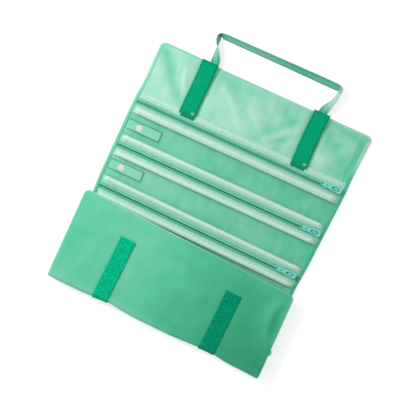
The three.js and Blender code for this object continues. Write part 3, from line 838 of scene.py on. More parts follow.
def quilt(name, rows, columns, flip, rumpled=True, end_depths=()):
    """A pad's mesh: its floor, its top and its rim. Its depth at a free end's rows may be given."""
    verts, uvs, naps_and_light = [], [], []
    for top in (False, True):
        for i, row in enumerate(rows):
            start = row.left + row.into_left * QUILT_INSET
            end = row.right + row.into_right * QUILT_INSET
            for j in range(columns + 1):
                point = start.lerp(end, j / columns)
                depth = QUILT_FLOOR
                if top:
                    side = min(j, columns - j) / columns * (end - start).length
                    depth = lining_depth(point.x, row.place) if rumpled else LINING_TOP - 0.1
                    left_hem = j < columns / 2 and row.place < LEFT_HEM_END
                    under_hem = UNDER_LEFT_HEM if left_hem else UNDER_HEM
                    depth = under_hem + (depth - under_hem) * blended(side, 0, 5, 0, 1)
                    if i < len(end_depths):
                        depth = min(depth, end_depths[i])
                laid = settled(point, row.place, 0 if top else 1)
                verts.append((laid + row.through * depth) * MM)
                uvs.append((point.x * MM, row.place * MM))
                naps_and_light.append(lining_nap_and_light(point.x, row.place))
    count = len(rows)
    wide = columns + 1
    size = count * wide
    faces = grid_faces(count, wide)
    faces += [tuple(size + point for point in face) for face in grid_faces(count, wide, True)]
    rim = list(range(wide))
    rim += [i * wide + columns for i in range(1, count)]
    rim += [(count - 1) * wide + j for j in reversed(range(columns))]
    rim += [i * wide for i in reversed(range(1, count - 1))]
    faces += [(a, a + size, b + size, b) for a, b in zip(rim, rim[1:] + rim[:1])]
    if flip:
        faces = [face[::-1] for face in faces]
    piece = laid_out_mesh(name, verts, faces, uvs, naps_and_light)
    made_current(piece)
    bpy.ops.object.shade_smooth_by_angle(angle=math.radians(70))
    return piece


END_DEPTHS = (2.8, 2.9, 3.0)
quilt_top_rows = top_end_rows(LINING_PROUD, 5)
quilt_top_rows += flat_rows(
    spaced(TOP_EDGE - CORNER + LINING_PROUD, TOP_EDGE - 66, 1.8)
    + spaced(TOP_EDGE - 69, UPPER_FOLD + 4, 4)
    + spaced(UPPER_FOLD + 3, SPINE_MIDDLE, 1)
)
quilt_flap_rows = flap_end_rows(LINING_PROUD, 5)
quilt_flap_rows += flap_rows(
    spaced(FLAP_LENGTH - FLAP_CORNER + LINING_PROUD, 4, 3.2) + [3, 2, 1]
)
quilt_flap_rows += bulge_rows(90, 0, 12)
lining_velvet = velvet_material("lining_velvet", 0.16, 0.08)
quilt_top = quilt("quilt_top", quilt_top_rows, 150, False, end_depths=END_DEPTHS)
quilt_spine = quilt("quilt_spine", spine_rows, 90, False)
quilt_base = quilt("quilt_base", base_rows, 90, False)
quilt_flap = quilt("quilt_flap", quilt_flap_rows, 60, True, False, END_DEPTHS)
for piece in (quilt_top, quilt_spine, quilt_base, quilt_flap):
    piece.data.materials.append(lining_velvet)
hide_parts("top_padding", "top_lining")
bend_over_upper_fold(quilt_top)
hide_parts("spine_padding", "spine_lining")
bend_over_lower_fold(quilt_spine)
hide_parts("base_padding", "base_lining", "low_fold_padding", "low_fold_lining")
bend_over_flap_foot(quilt_base)
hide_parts("flap_padding", "flap_lining")
bend_over_flap_head(quilt_flap)


# The zips: for each, two woven tapes that meet over the pocket's mouth, each with a pale ribbed
# ribbon stitched along its outer edge, and a nylon coil between them. The tapes lie in a shallow
# valley over the pocket, and all of it slopes down to the lining at both ends.
POCKET_INSET = HEM_SIDE + 0.3
END_SLOPE = 9.0
MIDDLE_COLUMNS = 62
# Each zip's place down the cloth, or up the flap for the fourth, how much it climbs to the side,
# the body that it rides on, whether a window lies above it, and how far in its slider stands.
ZIPS = {
    1: {"place": 75.5, "slope": 0.0, "body": "top", "over_window": False, "slider": 26.2},
    2: {"place": 132.6, "slope": 0.0, "body": "top", "over_window": True, "slider": 25.1},
    3: {"place": 188.4, "slope": 0.0175, "body": "base", "over_window": True, "slider": 28.3},
    4: {"place": 27.4, "slope": 0.0, "body": "flap", "over_window": False, "slider": 18.5},
}
UPPER_TAPE = 12.4
LOWER_TAPE = 14.4
FIRST_LOWER_TAPE = 16.3
VALLEY = 1.3
SEAM_HEIGHT = 5.2
SEAM_END_HEIGHT = 0.6
TAPE_TOP = 0.6


def sheet_at(x, place, height):
    """A point over the lining, at a place down the cloth."""
    return Vector((x, TOP_EDGE - place, LINING_TOP + height))


def sheet_ends(place):
    return left_side(TOP_EDGE - place) + POCKET_INSET, right_side(TOP_EDGE - place) - POCKET_INSET


def flap_at(x, place, height):
    """A point over the flap's lining, which faces down, at a place up the flap."""
    return fold_point(x, place, FOLD_TOP - LINING_TOP - height)


def flap_ends(place):
    lean = FLAP_LEAN * place / FLAP_LENGTH
    return -FLAP_HALF - lean + POCKET_INSET, FLAP_HALF - lean - POCKET_INSET


def across_pocket(left, right):
    """Places across a pocket, close together on the slopes at both ends."""
    inner = list(np.linspace(left + END_SLOPE + 1, right - END_SLOPE - 1, MIDDLE_COLUMNS))
    slope = [END_SLOPE * i / 9 for i in range(10)]
    return [left + step for step in slope] + inner + [right - step for step in reversed(slope)]


def end_rise(x, left, right):
    rise = min((x - left) / END_SLOPE, (right - x) / END_SLOPE, 1)
    return blended(max(rise, 0), 0, 1, 0, 1)


def band_piece(name, on_flap, rows, thick, columns_of=None):
    """A band of cloth or film over a pocket. A row is its place, slope, height between the slopes,
    height at the ends, and its place across the band for the pattern."""
    at, ends = (flap_at, flap_ends) if on_flap else (sheet_at, sheet_ends)
    verts, uvs = [], []
    for place, slope, middle, end, pattern in rows:
        left, right = ends(place)
        xs = columns_of(left, right, pattern) if columns_of else across_pocket(left, right)
        for x in xs:
            height = end + (middle - end) * end_rise(x, left, right)
            verts.append(at(x, place + slope * x, height) * MM)
            uvs.append((x * MM, pattern * MM))
    wide = len(verts) // len(rows)
    faces = grid_faces(len(rows), wide, True)
    normal_up = (verts[wide] - verts[0]).cross(verts[1] - verts[0]).z > 0
    if normal_up == on_flap:
        faces = [face[::-1] for face in faces]
    return sheet_piece(name, verts, faces, uvs, thick * MM)


def tape_level(d, width, over_window):
    """A tape's height over the lining at a distance from the coil, and the same at its ends."""
    outer = SEAM_HEIGHT if over_window else 0
    outer_end = SEAM_END_HEIGHT if over_window else 0
    rise = blended(d, 4.3, min(width, LOWER_TAPE) - 2.7, 0, 1)
    return VALLEY + (outer - VALLEY) * rise, outer_end * rise


def tape_rows(data, way, width, ds, lift_of):
    """Rows for a tape or its ribbon, at distances from the coil, up or down the cloth."""
    over_window = data["over_window"] or way > 0
    rows = []
    for d in ds:
        middle, end = tape_level(d, width, over_window)
        lift = lift_of(d)
        rows.append((data["place"] + way * d, data["slope"], middle + lift, end + lift, d))
    return rows


RIBBON_START = 5.4
RIB_PITCH = 2.2


def tape_lift(d):
    return TAPE_TOP - 0.3 * blended(d, 5.0, 5.6, 0, 1)


def ribbon_lift(width):
    """The ribs of a ribbon, and its pressed edges."""

    def lift(d):
        if min(d - RIBBON_START, width - d) <= 0.3:
            return TAPE_TOP - 0.12
        return TAPE_TOP + 0.14 + 0.13 * math.cos(2 * math.pi * (d - RIBBON_START) / RIB_PITCH)

    return lift


def rounded_columns(width):
    """The ribbon's ends are turned under and rounded a little short of the borders."""
    middle = (RIBBON_START + width) / 2
    half = (width - RIBBON_START) / 2

    def columns(left, right, d):
        away = min(abs(d - middle) / half, 1)
        tuck = 3.2 + 3.0 * (1 - math.sqrt(1 - away * away))
        inner = list(np.linspace(left + END_SLOPE + 1, right - END_SLOPE - 1, MIDDLE_COLUMNS))
        slope = [tuck + (END_SLOPE - tuck) * i / 6 for i in range(7)]
        return [left + s for s in slope] + inner + [right - s for s in reversed(slope)]

    return columns


def places_along(tree, uv):
    """A pattern's place along the cloth and across it."""
    parts = tree.nodes.new("ShaderNodeSeparateXYZ")
    feed(tree, parts, {"Vector": uv})
    return parts.outputs["X"], parts.outputs["Y"]


def woven_group():
    """A close plain weave: its threads' height and a little unevenness of the yarn."""
    group, given, out = new_group(
        "woven_yarn",
        [("Cloth", "NodeSocketVector", None), ("Thread", "NodeSocketFloat", 0.0006)],
        [("Height", "NodeSocketFloat"), ("Yarn", "NodeSocketFloat")],
    )
    turns = []
    for along in places_along(group, given.outputs["Cloth"]):
        steps = math_node(group, "DIVIDE", along, given.outputs["Thread"])
        turns.append(math_node(group, "SINE", math_node(group, "MULTIPLY", steps, 2 * math.pi)))
    weave = math_node(group, "MULTIPLY", *turns)
    yarn = noise_node(group, given.outputs["Cloth"], 260, 3, (1, 3, 1))
    results = {
        "Height": math_node(group, "MULTIPLY_ADD", weave, 0.5, 0.5),
        "Yarn": range_node(group, yarn, 0.3, 0.7, 0.92, 1.08),
    }
    feed(group, out, results)
    return group


woven_yarn = woven_group()


def cloth_material(name, colour_of, thread, bump_depth, roughness, sheen=0.0):
    """A woven cloth. colour_of makes its colour from the pattern's place along and across it."""
    material, tree, shader = new_material(name)
    flat = flat_pattern(tree)
    weave = tree.nodes.new("ShaderNodeGroup")
    weave.node_tree = woven_yarn
    feed(tree, weave, {"Thread": thread, "Cloth": flat})
    finish = {
        "Base Color": scaled_colour(tree, colour_of(tree, flat), weave.outputs["Yarn"]),
        "Normal": bumped(tree, weave.outputs["Height"], 0.5, bump_depth),
        "Roughness": roughness,
        "Specular IOR Level": 0.25,
        "Sheen Weight": sheen,
    }
    feed(tree, shader, finish)
    return material


def across_colour(stops):
    """A colour that changes across the band: stops are (distance in mm, colour)."""
    reach = stops[-1][0]

    def colour_of(tree, uv):
        share = math_node(tree, "DIVIDE", places_along(tree, uv)[1], reach * MM)
        return colour_ramp(tree, share, [(distance / reach, colour) for distance, colour in stops])

    return colour_of


RIBBON_END = -0.1375
RIBBON_END_SHADE_FADE = 0.013


def ribbed(colour_of, pitch, depth):
    """A ribbed ribbon, with painted shade between its ribs and at its left end, where it curves down to
    the lining.
    """

    def ribbed_colour(tree, uv):
        along, across = places_along(tree, uv)
        start = math_node(tree, "SUBTRACT", across, RIBBON_START * MM)
        turns = math_node(tree, "MULTIPLY", start, 2 * math.pi / (pitch * MM))
        # Painted shade between the ribs, and at the left end.
        ribs = range_node(tree, math_node(tree, "COSINE", turns), -1, 0.6, 1 - depth, 1)
        end = range_node(tree, along, RIBBON_END, RIBBON_END + RIBBON_END_SHADE_FADE, 0.86, 1)
        return scaled_colour(tree, colour_of(tree, uv), math_node(tree, "MULTIPLY", ribs, end))

    return ribbed_colour


def tape_cloth(name, stops):
    """Woven tape with its colours across. On the lower tapes, the dark band near the coil is painted
    shadow of the coil.
    """
    return cloth_material(name, across_colour(stops), 0.0007, 0.0002, 0.75)


# TAPE_SHADE and FIRST_SHADE are painted shadow of the coil on the lower tapes.
NEAR_COIL = srgb(104, 196, 160)
TAPE_SHADE = srgb(0, 122, 88)
TAPE_FACE = srgb(98, 198, 162)
TAPE_FOOT = srgb(70, 164, 132)
TAPE_EDGE = srgb(158, 214, 190)
FIRST_NEAR_COIL = srgb(112, 202, 168)
FIRST_UPPER_EDGE = srgb(168, 222, 200)
FIRST_LOWER_COIL = srgb(96, 188, 154)
FIRST_SHADE = srgb(40, 147, 114)
upper_tape_cloth = tape_cloth(
    "upper_tape_cloth",
    [
        (0, NEAR_COIL),
        (2.4, NEAR_COIL),
        (3.2, srgb(110, 200, 166)),
        (3.7, srgb(138, 212, 184)),
        (15, TAPE_EDGE),
    ],
)
lower_tape_cloth = tape_cloth(
    "lower_tape_cloth",
    [
        (0, NEAR_COIL),
        (0.25, NEAR_COIL),
        (0.55, TAPE_SHADE),
        (1.8, TAPE_SHADE),
        (2.3, TAPE_FACE),
        (3.0, TAPE_FACE),
        (3.4, TAPE_FOOT),
        (4.0, TAPE_FOOT),
        (4.5, srgb(112, 200, 168)),
        (6.0, TAPE_EDGE),
        (15, TAPE_EDGE),
    ],
)
first_upper_tape_cloth = tape_cloth(
    "first_upper_tape_cloth",
    [
        (0, FIRST_NEAR_COIL),
        (1.5, FIRST_NEAR_COIL),
        (2.2, srgb(128, 208, 178)),
        (3.2, srgb(150, 218, 192)),
        (4.2, FIRST_UPPER_EDGE),
        (15, FIRST_UPPER_EDGE),
    ],
)
first_lower_tape_cloth = tape_cloth(
    "first_lower_tape_cloth",
    [
        (0, FIRST_LOWER_COIL),
        (1.1, FIRST_LOWER_COIL),
        (1.6, FIRST_SHADE),
        (2.7, FIRST_SHADE),
        (3.3, srgb(94, 188, 154)),
        (4.8, srgb(106, 190, 160)),
        (6.4, srgb(150, 212, 188)),
        (15, TAPE_EDGE),
    ],
)


def ribbon_cloth(name, foot, low, middle, high, far):
    """The ribbed ribbon along a zip, paler in its middle than along its edges."""
    stops = [(0, foot), (5.4, foot), (5.9, low), (7.8, low), (10.5, middle), (12.0, high), (14.4, far)]
    return cloth_material(name, ribbed(across_colour(stops), RIB_PITCH, 0.16), 0.0009, 0.0003, 0.6, 0.15)


pale_ribbon = ribbon_cloth(
    "pale_ribbon",
    srgb(174, 226, 204),
    srgb(208, 244, 228),
    srgb(212, 246, 231),
    srgb(200, 240, 222),
    srgb(184, 230, 210),
)
# The lower tapes' ribbon: its edge towards the coil is painted darker, as painted shade where the tape
# slopes down into the valley.
shaded_ribbon = ribbon_cloth(
    "shaded_ribbon",
    srgb(150, 212, 186),
    srgb(180, 228, 207),
    srgb(212, 246, 231),
    srgb(198, 239, 220),
    srgb(182, 229, 208),
)
mint_ribbon = ribbon_cloth(
    "mint_ribbon",
    srgb(160, 220, 195),
    srgb(190, 238, 217),
    srgb(186, 236, 214),
    srgb(176, 231, 207),
    srgb(170, 227, 202),
)

# Each side's way from the coil, down the cloth or up it, its width, and its two cloths.
TAPES = {
    "upper": (-1, UPPER_TAPE, upper_tape_cloth, pale_ribbon),
    "lower": (1, LOWER_TAPE, lower_tape_cloth, shaded_ribbon),
}
FIRST_TAPES = {
    "upper": (-1, UPPER_TAPE, first_upper_tape_cloth, mint_ribbon),
    "lower": (1, FIRST_LOWER_TAPE, first_lower_tape_cloth, shaded_ribbon),
}


def tapes_of(number):
    """The tapes of zip 1 have colours of their own, and its lower one is wider."""
    return FIRST_TAPES if number == 1 else TAPES


for number, data in ZIPS.items():
    for side, (way, width, tape_look, ribbon_look) in tapes_of(number).items():
        ds = [0.7, 1.1, 2.0, 3.0, 3.8, 4.4, 5.0] + spaced(5.6, width - 0.1, 0.8)
        rows = tape_rows(data, way, width, ds, tape_lift)
        tape = band_piece(f"zip_{number}_{side}_tape_cloth", number == 4, rows, 0.3)
        tape.data.materials.append(tape_look)
        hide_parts(f"zip_{number}_{side}_tape")
        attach(tape, data["body"])
        ds = [RIBBON_START, RIBBON_START + 0.25]
        ds += spaced(RIBBON_START + 0.5, width - 0.5, RIB_PITCH / 7)
        ds += [width - 0.25, width]
        rows = tape_rows(data, way, width, ds, ribbon_lift(width))
        ribbon = band_piece(
            f"zip_{number}_{side}_ribbon", number == 4, rows, 0.26, rounded_columns(width)
        )
        ribbon.data.materials.append(ribbon_look)
        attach(ribbon, data["body"])


# The coil: two rows of bent nylon teeth, hooked into each other along the middle of the zip. One
# tooth is modelled, and repeated along each row.
TOOTH_PITCH = 1.36
TOOTH_SIZE = (0.92, 2.2, 1.15)
COIL_FLOOR = VALLEY + TAPE_TOP + 0.06
COIL_SHIFT = -1.0
ROW_OFFSET = 0.5
TOOTH_TURN = 0.2


def one_tooth():
    bpy.ops.object.select_all(action="DESELECT")
    bpy.ops.mesh.primitive_cube_add(size=1)
    tooth = bpy.context.object
    bpy.ops.object.mode_set(mode="EDIT")
    bpy.ops.transform.resize(value=TOOTH_SIZE)
    bpy.ops.mesh.bevel(offset=0.26, segments=1, affect="EDGES")
    bpy.ops.object.mode_set(mode="OBJECT")
    return tooth


def mesh_points(mesh):
    points = np.empty(len(mesh.vertices) * 3)
    mesh.vertices.foreach_get("co", points)
    return points.reshape(-1, 3)


def repeated(name, pattern, places):
    """One mesh made of a pattern's copies. A place is a 3 x 3 turn and a point."""
    points = mesh_points(pattern.data)
    faces = [tuple(p.vertices) for p in pattern.data.polygons]
    count = len(points)
    all_points = np.concatenate([points @ np.array(turn).T + np.array(at) for turn, at in places])
    all_faces = [tuple(v + i * count for v in face) for i in range(len(places)) for face in faces]
    mesh = bpy.data.meshes.new(name)
    mesh.from_pydata(all_points.tolist(), [], all_faces)
    mesh.shade_smooth()
    piece = bpy.data.objects.new(name, mesh)
    bpy.context.scene.collection.objects.link(piece)
    return piece


def plastic_material(name, colour, dark, roughness, grain, coat=0.0):
    """Moulded or enamelled parts, and thread: a little cloudiness of colour, and a fine grain."""
    material, tree, shader = new_material(name)
    place = tree.nodes.new("ShaderNodeTexCoord").outputs["Object"]
    cloud = range_node(tree, noise_node(tree, place, 420, 4), 0.35, 0.7, 0, 1)
    fine = noise_node(tree, place, grain, 2)
    finish = {
        "Base Color": mixed_colour(tree, cloud, dark, colour),
        "Roughness": range_node(tree, fine, 0.3, 0.7, roughness * 0.85, roughness * 1.2),
        "Normal": bumped(tree, fine, 0.15, 0.0001),
        "Coat Weight": coat,
        "Coat Roughness": 0.12,
    }
    feed(tree, shader, finish)
    return material


def slider_x(number):
    """How far across a zip's slider stands, in from the cloth's cut side or the flap's."""
    data = ZIPS[number]
    if number == 4:
        return flap_ends(data["place"])[1] + POCKET_INSET - data["slider"]
    return right_line(TOP_EDGE - data["place"]) - data["slider"]


def coil_places(number):
    """Places for a coil's teeth, from its left end to just under its slider."""
    data = ZIPS[number]
    on_flap = number == 4
    at, ends = (flap_at, flap_ends) if on_flap else (sheet_at, sheet_ends)
    left, right = ends(data["place"])
    lean = math.atan(data["slope"]) + (FLAP_SKEW if on_flap else 0)
    places = []
    for row_side in (-1, 1):
        x = left + 0.6 + (TOOTH_PITCH / 2 if row_side > 0 else 0)
        across = data["place"] + row_side * ROW_OFFSET + COIL_SHIFT
        turn = -lean + row_side * TOOTH_TURN * (-1 if on_flap else 1)
        cos, sin = math.cos(turn) * MM, math.sin(turn) * MM
        while x < slider_x(number) + 2:
            height = COIL_FLOOR + 0.6 - VALLEY * (1 - end_rise(x, left, right))
            point = at(x, across + data["slope"] * x, height) * MM
            places.append((((cos, -sin, 0), (sin, cos, 0), (0, 0, MM)), tuple(point)))
            x += TOOTH_PITCH
    return places


coil_nylon = plastic_material("coil_nylon", srgb(136, 216, 186), srgb(118, 203, 170), 0.4, 2500)
tooth = one_tooth()
for number, data in ZIPS.items():
    coil = repeated(f"zip_{number}_coil_teeth", tooth, coil_places(number))
    coil.data.materials.append(coil_nylon)
    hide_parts(f"zip_{number}_coil")
    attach(coil, data["body"])
bpy.data.objects.remove(tooth)


# The windows: clear flexible film, sewn between one zip's lower tape and the next zip's upper
# tape, and down onto the lining at both ends. The second one folds twice as the roll closes.
FILM_FLOOR = 4.6
FILM_THICK = 0.4
FILM_UNDER = 2.6


def film_material():
    """Clear film: faint milky clouds, and long soft ripples that catch the light."""
    material, tree, shader = new_material("clear_film")
    flat = flat_pattern(tree)
    cloud = noise_node(tree, flat, 30, 3, (0.5, 1.4, 1), math.radians(25))
    ripple = noise_node(tree, flat, 55, 1, (0.4, 1, 1), math.radians(20))
    finish = {
        "Alpha": range_node(tree, cloud, 0.5, 0.8, 0.02, 0.1, True),
        "Normal": bumped(tree, ripple, 0.4, 0.002),
        "Base Color": srgb(196, 236, 218),
        "Roughness": 0.12,
        "Specular IOR Level": 0.8,
    }
    feed(tree, shader, finish)
    return material


clear_film = film_material()


def film_piece(name, on_flap, top, top_slope, bottom, bottom_slope, steps):
    rows = []
    for i in range(steps + 1):
        share = i / steps
        place = top + (bottom - top) * share
        slope = top_slope + (bottom_slope - top_slope) * share
        rows.append((place, slope, FILM_FLOOR + FILM_THICK, FILM_THICK, place))
    film = band_piece(name, on_flap, rows, FILM_THICK)
    film.data.materials.append(clear_film)
    return film


def below_zip(number):
    """Where a window starts, a little under the lower tape of the zip above it."""
    return ZIPS[number]["place"] + LOWER_TAPE - FILM_UNDER


def above_zip(number):
    return ZIPS[number]["place"] - UPPER_TAPE + FILM_UNDER


SPINE_PLACE = TOP_EDGE - SPINE_MIDDLE
POCKET_3_END = 231.8
POCKET_4_END = 70.8
ZIP_3_SLOPE = ZIPS[3]["slope"]
SPINE_SLOPE = 0.008
window_1 = film_piece("window_film_1", False, below_zip(1), 0, above_zip(2), 0, 10)
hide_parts("window_1")
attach(window_1, "top")
window_2_upper = film_piece(
    "window_film_2_upper", False, below_zip(2), 0, SPINE_PLACE, SPINE_SLOPE, 10
)
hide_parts("window_2")
bend_over_upper_fold(window_2_upper)
window_2_lower = film_piece(
    "window_film_2_lower", False, SPINE_PLACE, SPINE_SLOPE, above_zip(3), ZIP_3_SLOPE, 10
)
bend_over_lower_fold(window_2_lower)
window_3 = film_piece(
    "window_film_3", False, below_zip(3), ZIP_3_SLOPE, POCKET_3_END + FILM_UNDER, ZIP_3_SLOPE, 8
)
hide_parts("window_3")
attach(window_3, "base")
window_4 = film_piece("window_film_4", True, below_zip(4), 0, POCKET_4_END + FILM_UNDER, 0, 8)
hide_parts("window_4")
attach(window_4, "flap")


# The hem bands: a pale woven strip that closes the third and the fourth pocket at the bottom. It
# is sewn over the film's end, and falls from there to the lining.
HEM_BAND = 12.0
for name, on_flap, top, slope, body in (
    ("pocket_3_hem", False, POCKET_3_END, ZIP_3_SLOPE, "base"),
    ("pocket_4_hem", True, POCKET_4_END, 0.0, "flap"),
):
    rows = []
    for d in spaced(0, HEM_BAND, 0.5):
        fall = blended(d, 2.8, HEM_BAND - 2.6, 1, 0)
        lift = TAPE_TOP + 0.07 * math.cos(2 * math.pi * d / RIB_PITCH)
        rows.append((top + d, slope, SEAM_HEIGHT * fall + lift, SEAM_END_HEIGHT * fall + lift, d))
    hem = band_piece(f"{name}_band", on_flap, rows, 0.6)
    hem.data.materials.append(pale_ribbon)
    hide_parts(name)
    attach(hem, body)


# The hook straps: two strips of emerald hook tape on a narrower woven backing, sewn to the top
# panel over the ends of the handle. A running stitch goes round each, just inside its edges.
HOOK_WIDTH = 21.0
HOOK_END = 68.6
HOOK_AHEAD = 1.6
BACKING_AHEAD = 0.6
BACKING_END = 71.7
BACKING_THICK = 0.8
HOOK_TOP = 2.3
SWAY = 0.25
# For each strap, the tape's middle, the backing's middle and the backing's width.
HOOK_STRAPS = {
    "left": (STRAP_MIDDLES[0], -74.6, 17.6),
    "right": (STRAP_MIDDLES[1], 70.2, 18.0),
}
# Places down the cloth, and how high over the lining the strap lies there.
STRAP_HEIGHTS = [
    (-1.6, 1.5),
    (11, 1.5),
    (15, 0.35),
    (59, 0.1),
    (62.5, 0.75),
    (67, 0.85),
    (71, 1.6),
    (80, 1.9),
]


def strap_height(place):
    for (s0, h0), (s1, h1) in zip(STRAP_HEIGHTS, STRAP_HEIGHTS[1:]):
        if place <= s1:
            return blended(place, s0, s1, h0, h1)
    return STRAP_HEIGHTS[-1][1]


def strap_piece(name, middle, width, start, end, level, thick, edge, wave):
    """A strap laid down the cloth. Its edges are pressed flatter than its middle."""
    verts, uvs = [], []
    half = width / 2
    offsets = [-half, -half + 0.15, -half + 1.1, -half + 1.5] + spaced(-half + 3, half - 3, 3)
    offsets += [half - 1.5, half - 1.1, half - 0.15, half]
    places = [start, start + 0.15, start + 0.9, start + 1.3] + spaced(start + 3, end - 3, 1.5)
    places += [end - 1.3, end - 0.9, end - 0.15, end]
    for place in places:
        for offset in offsets:
            rim = min(half - abs(offset), place - start, end - place)
            drop = edge + 0.2 if rim < 0.1 else edge * (1 - min(max((rim - 0.9) / 0.6, 0), 1))
            sway = wave * math.sin(place / 11 + middle) + 0.12 * soft_noise(place, middle, 7, 3)
            at = sheet_at(middle + offset + sway, place, strap_height(place) + level - drop)
            verts.append(at * MM)
            uvs.append((offset * MM, place * MM))
    faces = grid_faces(len(places), len(offsets), True)
    return sheet_piece(name, verts, faces, uvs, thick * MM)


def pile_tape_material(name, deep, bright, grain, depth, fuzz):
    """Hook or loop tape: a dense field of nylon loops, with painted shade on the ground cloth between
    them.
    """
    material, tree, shader = new_material(name)
    flat = flat_pattern(tree)
    loops = tree.nodes.new("ShaderNodeTexVoronoi")
    feed(tree, loops, {"Scale": grain, "Randomness": fuzz, "Vector": flat})
    cloud = noise_node(tree, flat, 420, 4, rough=0.7)
    # The loops' tops are painted bright and the ground between them dark, as painted shade.
    dome = range_node(tree, loops.outputs["Distance"], 0.1, 0.75, 1, 0)
    both = math_node(tree, "MULTIPLY_ADD", cloud, 1.1, dome)
    finish = {
        "Base Color": mixed_colour(tree, range_node(tree, both, 0.55, 1.35, 0, 1), deep, bright),
        "Normal": bumped(tree, both, 0.7, depth),
        "Roughness": 0.7,
        "Specular IOR Level": 0.04,
    }
    feed(tree, shader, finish)
    return material


def backing_colour(tree, uv):
    """The backing is one green all over."""
    return srgb(0, 136, 100)[:3]


hook_nylon = pile_tape_material(
    "hook_nylon", srgb(0, 142, 102), srgb(2, 182, 130), 1250, 0.0004, 0.25
)
backing_cloth = cloth_material("backing_cloth", backing_colour, 0.0012, 0.0004, 0.7)


# One stitch is a short round-ended length of thread. A seam is a row of them, each a little way
# from the next, laid on the cloth along the seam.
def one_stitch():
    bpy.ops.object.select_all(action="DESELECT")
    bpy.ops.mesh.primitive_uv_sphere_add(segments=6, ring_count=5, radius=0.5)
    stitch = bpy.context.object
    stitch.rotation_euler = (0, math.radians(90), 0)
    bpy.ops.object.transform_apply(location=False, rotation=True, scale=False)
    return stitch


THREAD_FLATNESS = 0.8
stitch_pattern = one_stitch()


def stitch_places(path, length, gap, thick):
    """Places for stitches along a path of points, each turned along it."""
    places = []
    carried = 0.0
    for a, b in zip(path, path[1:]):
        along = b - a
        if along.length < 1e-6:
            continue
        way = along.normalized()
        side = UPWARD.cross(way).normalized()
        up = way.cross(side)
        at = carried
        while at + length / 2 <= along.length:
            centre = a + way * (at + length / 2)
            axes = (way * length * MM, side * thick * MM, up * thick * THREAD_FLATNESS * MM)
            turn = [[axis[i] for axis in axes] for i in range(3)]
            places.append((turn, tuple(centre * MM)))
            at += length + gap
        carried = max(0.0, at - along.length)
    return places


def thread_material(name, colour):
    deeper = tuple(part * 0.8 for part in colour[:3]) + (1,)
    return plastic_material(name, colour, deeper, 0.6, 3000)


emerald_thread = thread_material("emerald_thread", srgb(0, 98, 70))
mint_thread = thread_material("mint_thread", srgb(150, 214, 190))
pale_thread = thread_material("pale_thread", srgb(206, 232, 222))
deep_thread = thread_material("deep_thread", srgb(72, 160, 124))


def seam(name, places, thread, body):
    piece = repeated(name, stitch_pattern, places)
    piece.data.materials.append(thread)
    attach(piece, body)


STITCH_INSET = 1.9
HOOK_STITCH = (2.4, 0.4, 0.75)
for side, (middle, backing_middle, backing_width) in HOOK_STRAPS.items():
    backing = strap_piece(
        f"hook_strap_{side}_backing",
        backing_middle,
        backing_width,
        -BACKING_AHEAD,
        BACKING_END,
        BACKING_THICK,
        0.7,
        0.1,
        0,
    )
    backing.data.materials.append(backing_cloth)
    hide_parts(f"hook_backing_{side}")
    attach(backing, "top")
    tape = strap_piece(
        f"hook_strap_{side}_tape", middle, HOOK_WIDTH, -HOOK_AHEAD, HOOK_END, HOOK_TOP, 1.3, 0.4, SWAY
    )
    tape.data.materials.append(hook_nylon)
    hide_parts(f"hook_tape_{side}")
    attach(tape, "top")

    def on_tape(offset, place, lift=0.08):
        sway = SWAY * math.sin(place / 11 + middle)
        return sheet_at(middle + offset + sway, place, strap_height(place) + HOOK_TOP + lift)

    half = HOOK_WIDTH / 2 - STITCH_INSET
    top, bottom = -HOOK_AHEAD + STITCH_INSET, HOOK_END - STITCH_INSET
    down = spaced(top, bottom, 3)
    across = spaced(-half, half, 3)
    round_path = [on_tape(-half, place) for place in down]
    round_path += [on_tape(offset, bottom) for offset in across[1:]]
    round_path += [on_tape(half, place) for place in reversed(down[:-1])]
    round_path += [on_tape(offset, top) for offset in spaced(half, -half, 3)[1:]]
    places = stitch_places(round_path, *HOOK_STITCH)
    places += stitch_places([on_tape(offset, bottom - 2.6) for offset in across], *HOOK_STITCH)
    seam(f"hook_strap_{side}_stitches", places, emerald_thread, "top")
    tack = []
    for i in range(6):
        centre = on_tape(4.4 + 0.62 * i, 64.2 + 0.18 * (i % 2), 0.25)
        way = Vector((0.12, 1, 0)) * (1.3 + 0.35 * (i % 3))
        tack += stitch_places([centre - way, centre + way], 2 * way.length - 0.01, 0.1, 0.45)
    seam(f"hook_strap_{side}_tack", tack, pale_thread, "top")


# The loop strips: soft loop tape on the outside of the flap, sewn on before the cloth was folded,
# so that it runs on round the fold.
LOOP_WIDTH = 20.0
LOOP_THICK = 1.2
FOLD_RADIUS = 8.2
# For each strip, its middle and how far up the flap it reaches.
LOOP_STRIPS = {"left": (LOOP_MIDDLES[0], 75.2), "right": (LOOP_MIDDLES[1], 73.0)}
# Lit and shaded copies of one loop tape: the left strip's is painted lighter and the right strip's
# darker, as painted light and shade.
LOOP_NYLON = {
    "left": pile_tape_material(
        "loop_nylon_left_lit", srgb(0, 158, 116), srgb(6, 216, 160), 1000, 0.0006, 1.0
    ),
    "right": pile_tape_material(
        "loop_nylon_right_shaded", srgb(0, 126, 93), srgb(4, 174, 130), 1000, 0.0006, 1.0
    ),
}


def fold_outside(across, run):
    """A point on the flap's outside, and the way out of it. The run goes on round the fold."""
    if run >= 0:
        return settled(fold_point(across, run, FOLD_TOP), FLAP_PLACE + run), UPWARD
    angle = math.pi / 2 + run / FOLD_RADIUS
    return settled(bulge_point(across, angle), bulge_place(angle)), -bulge_inward(angle)


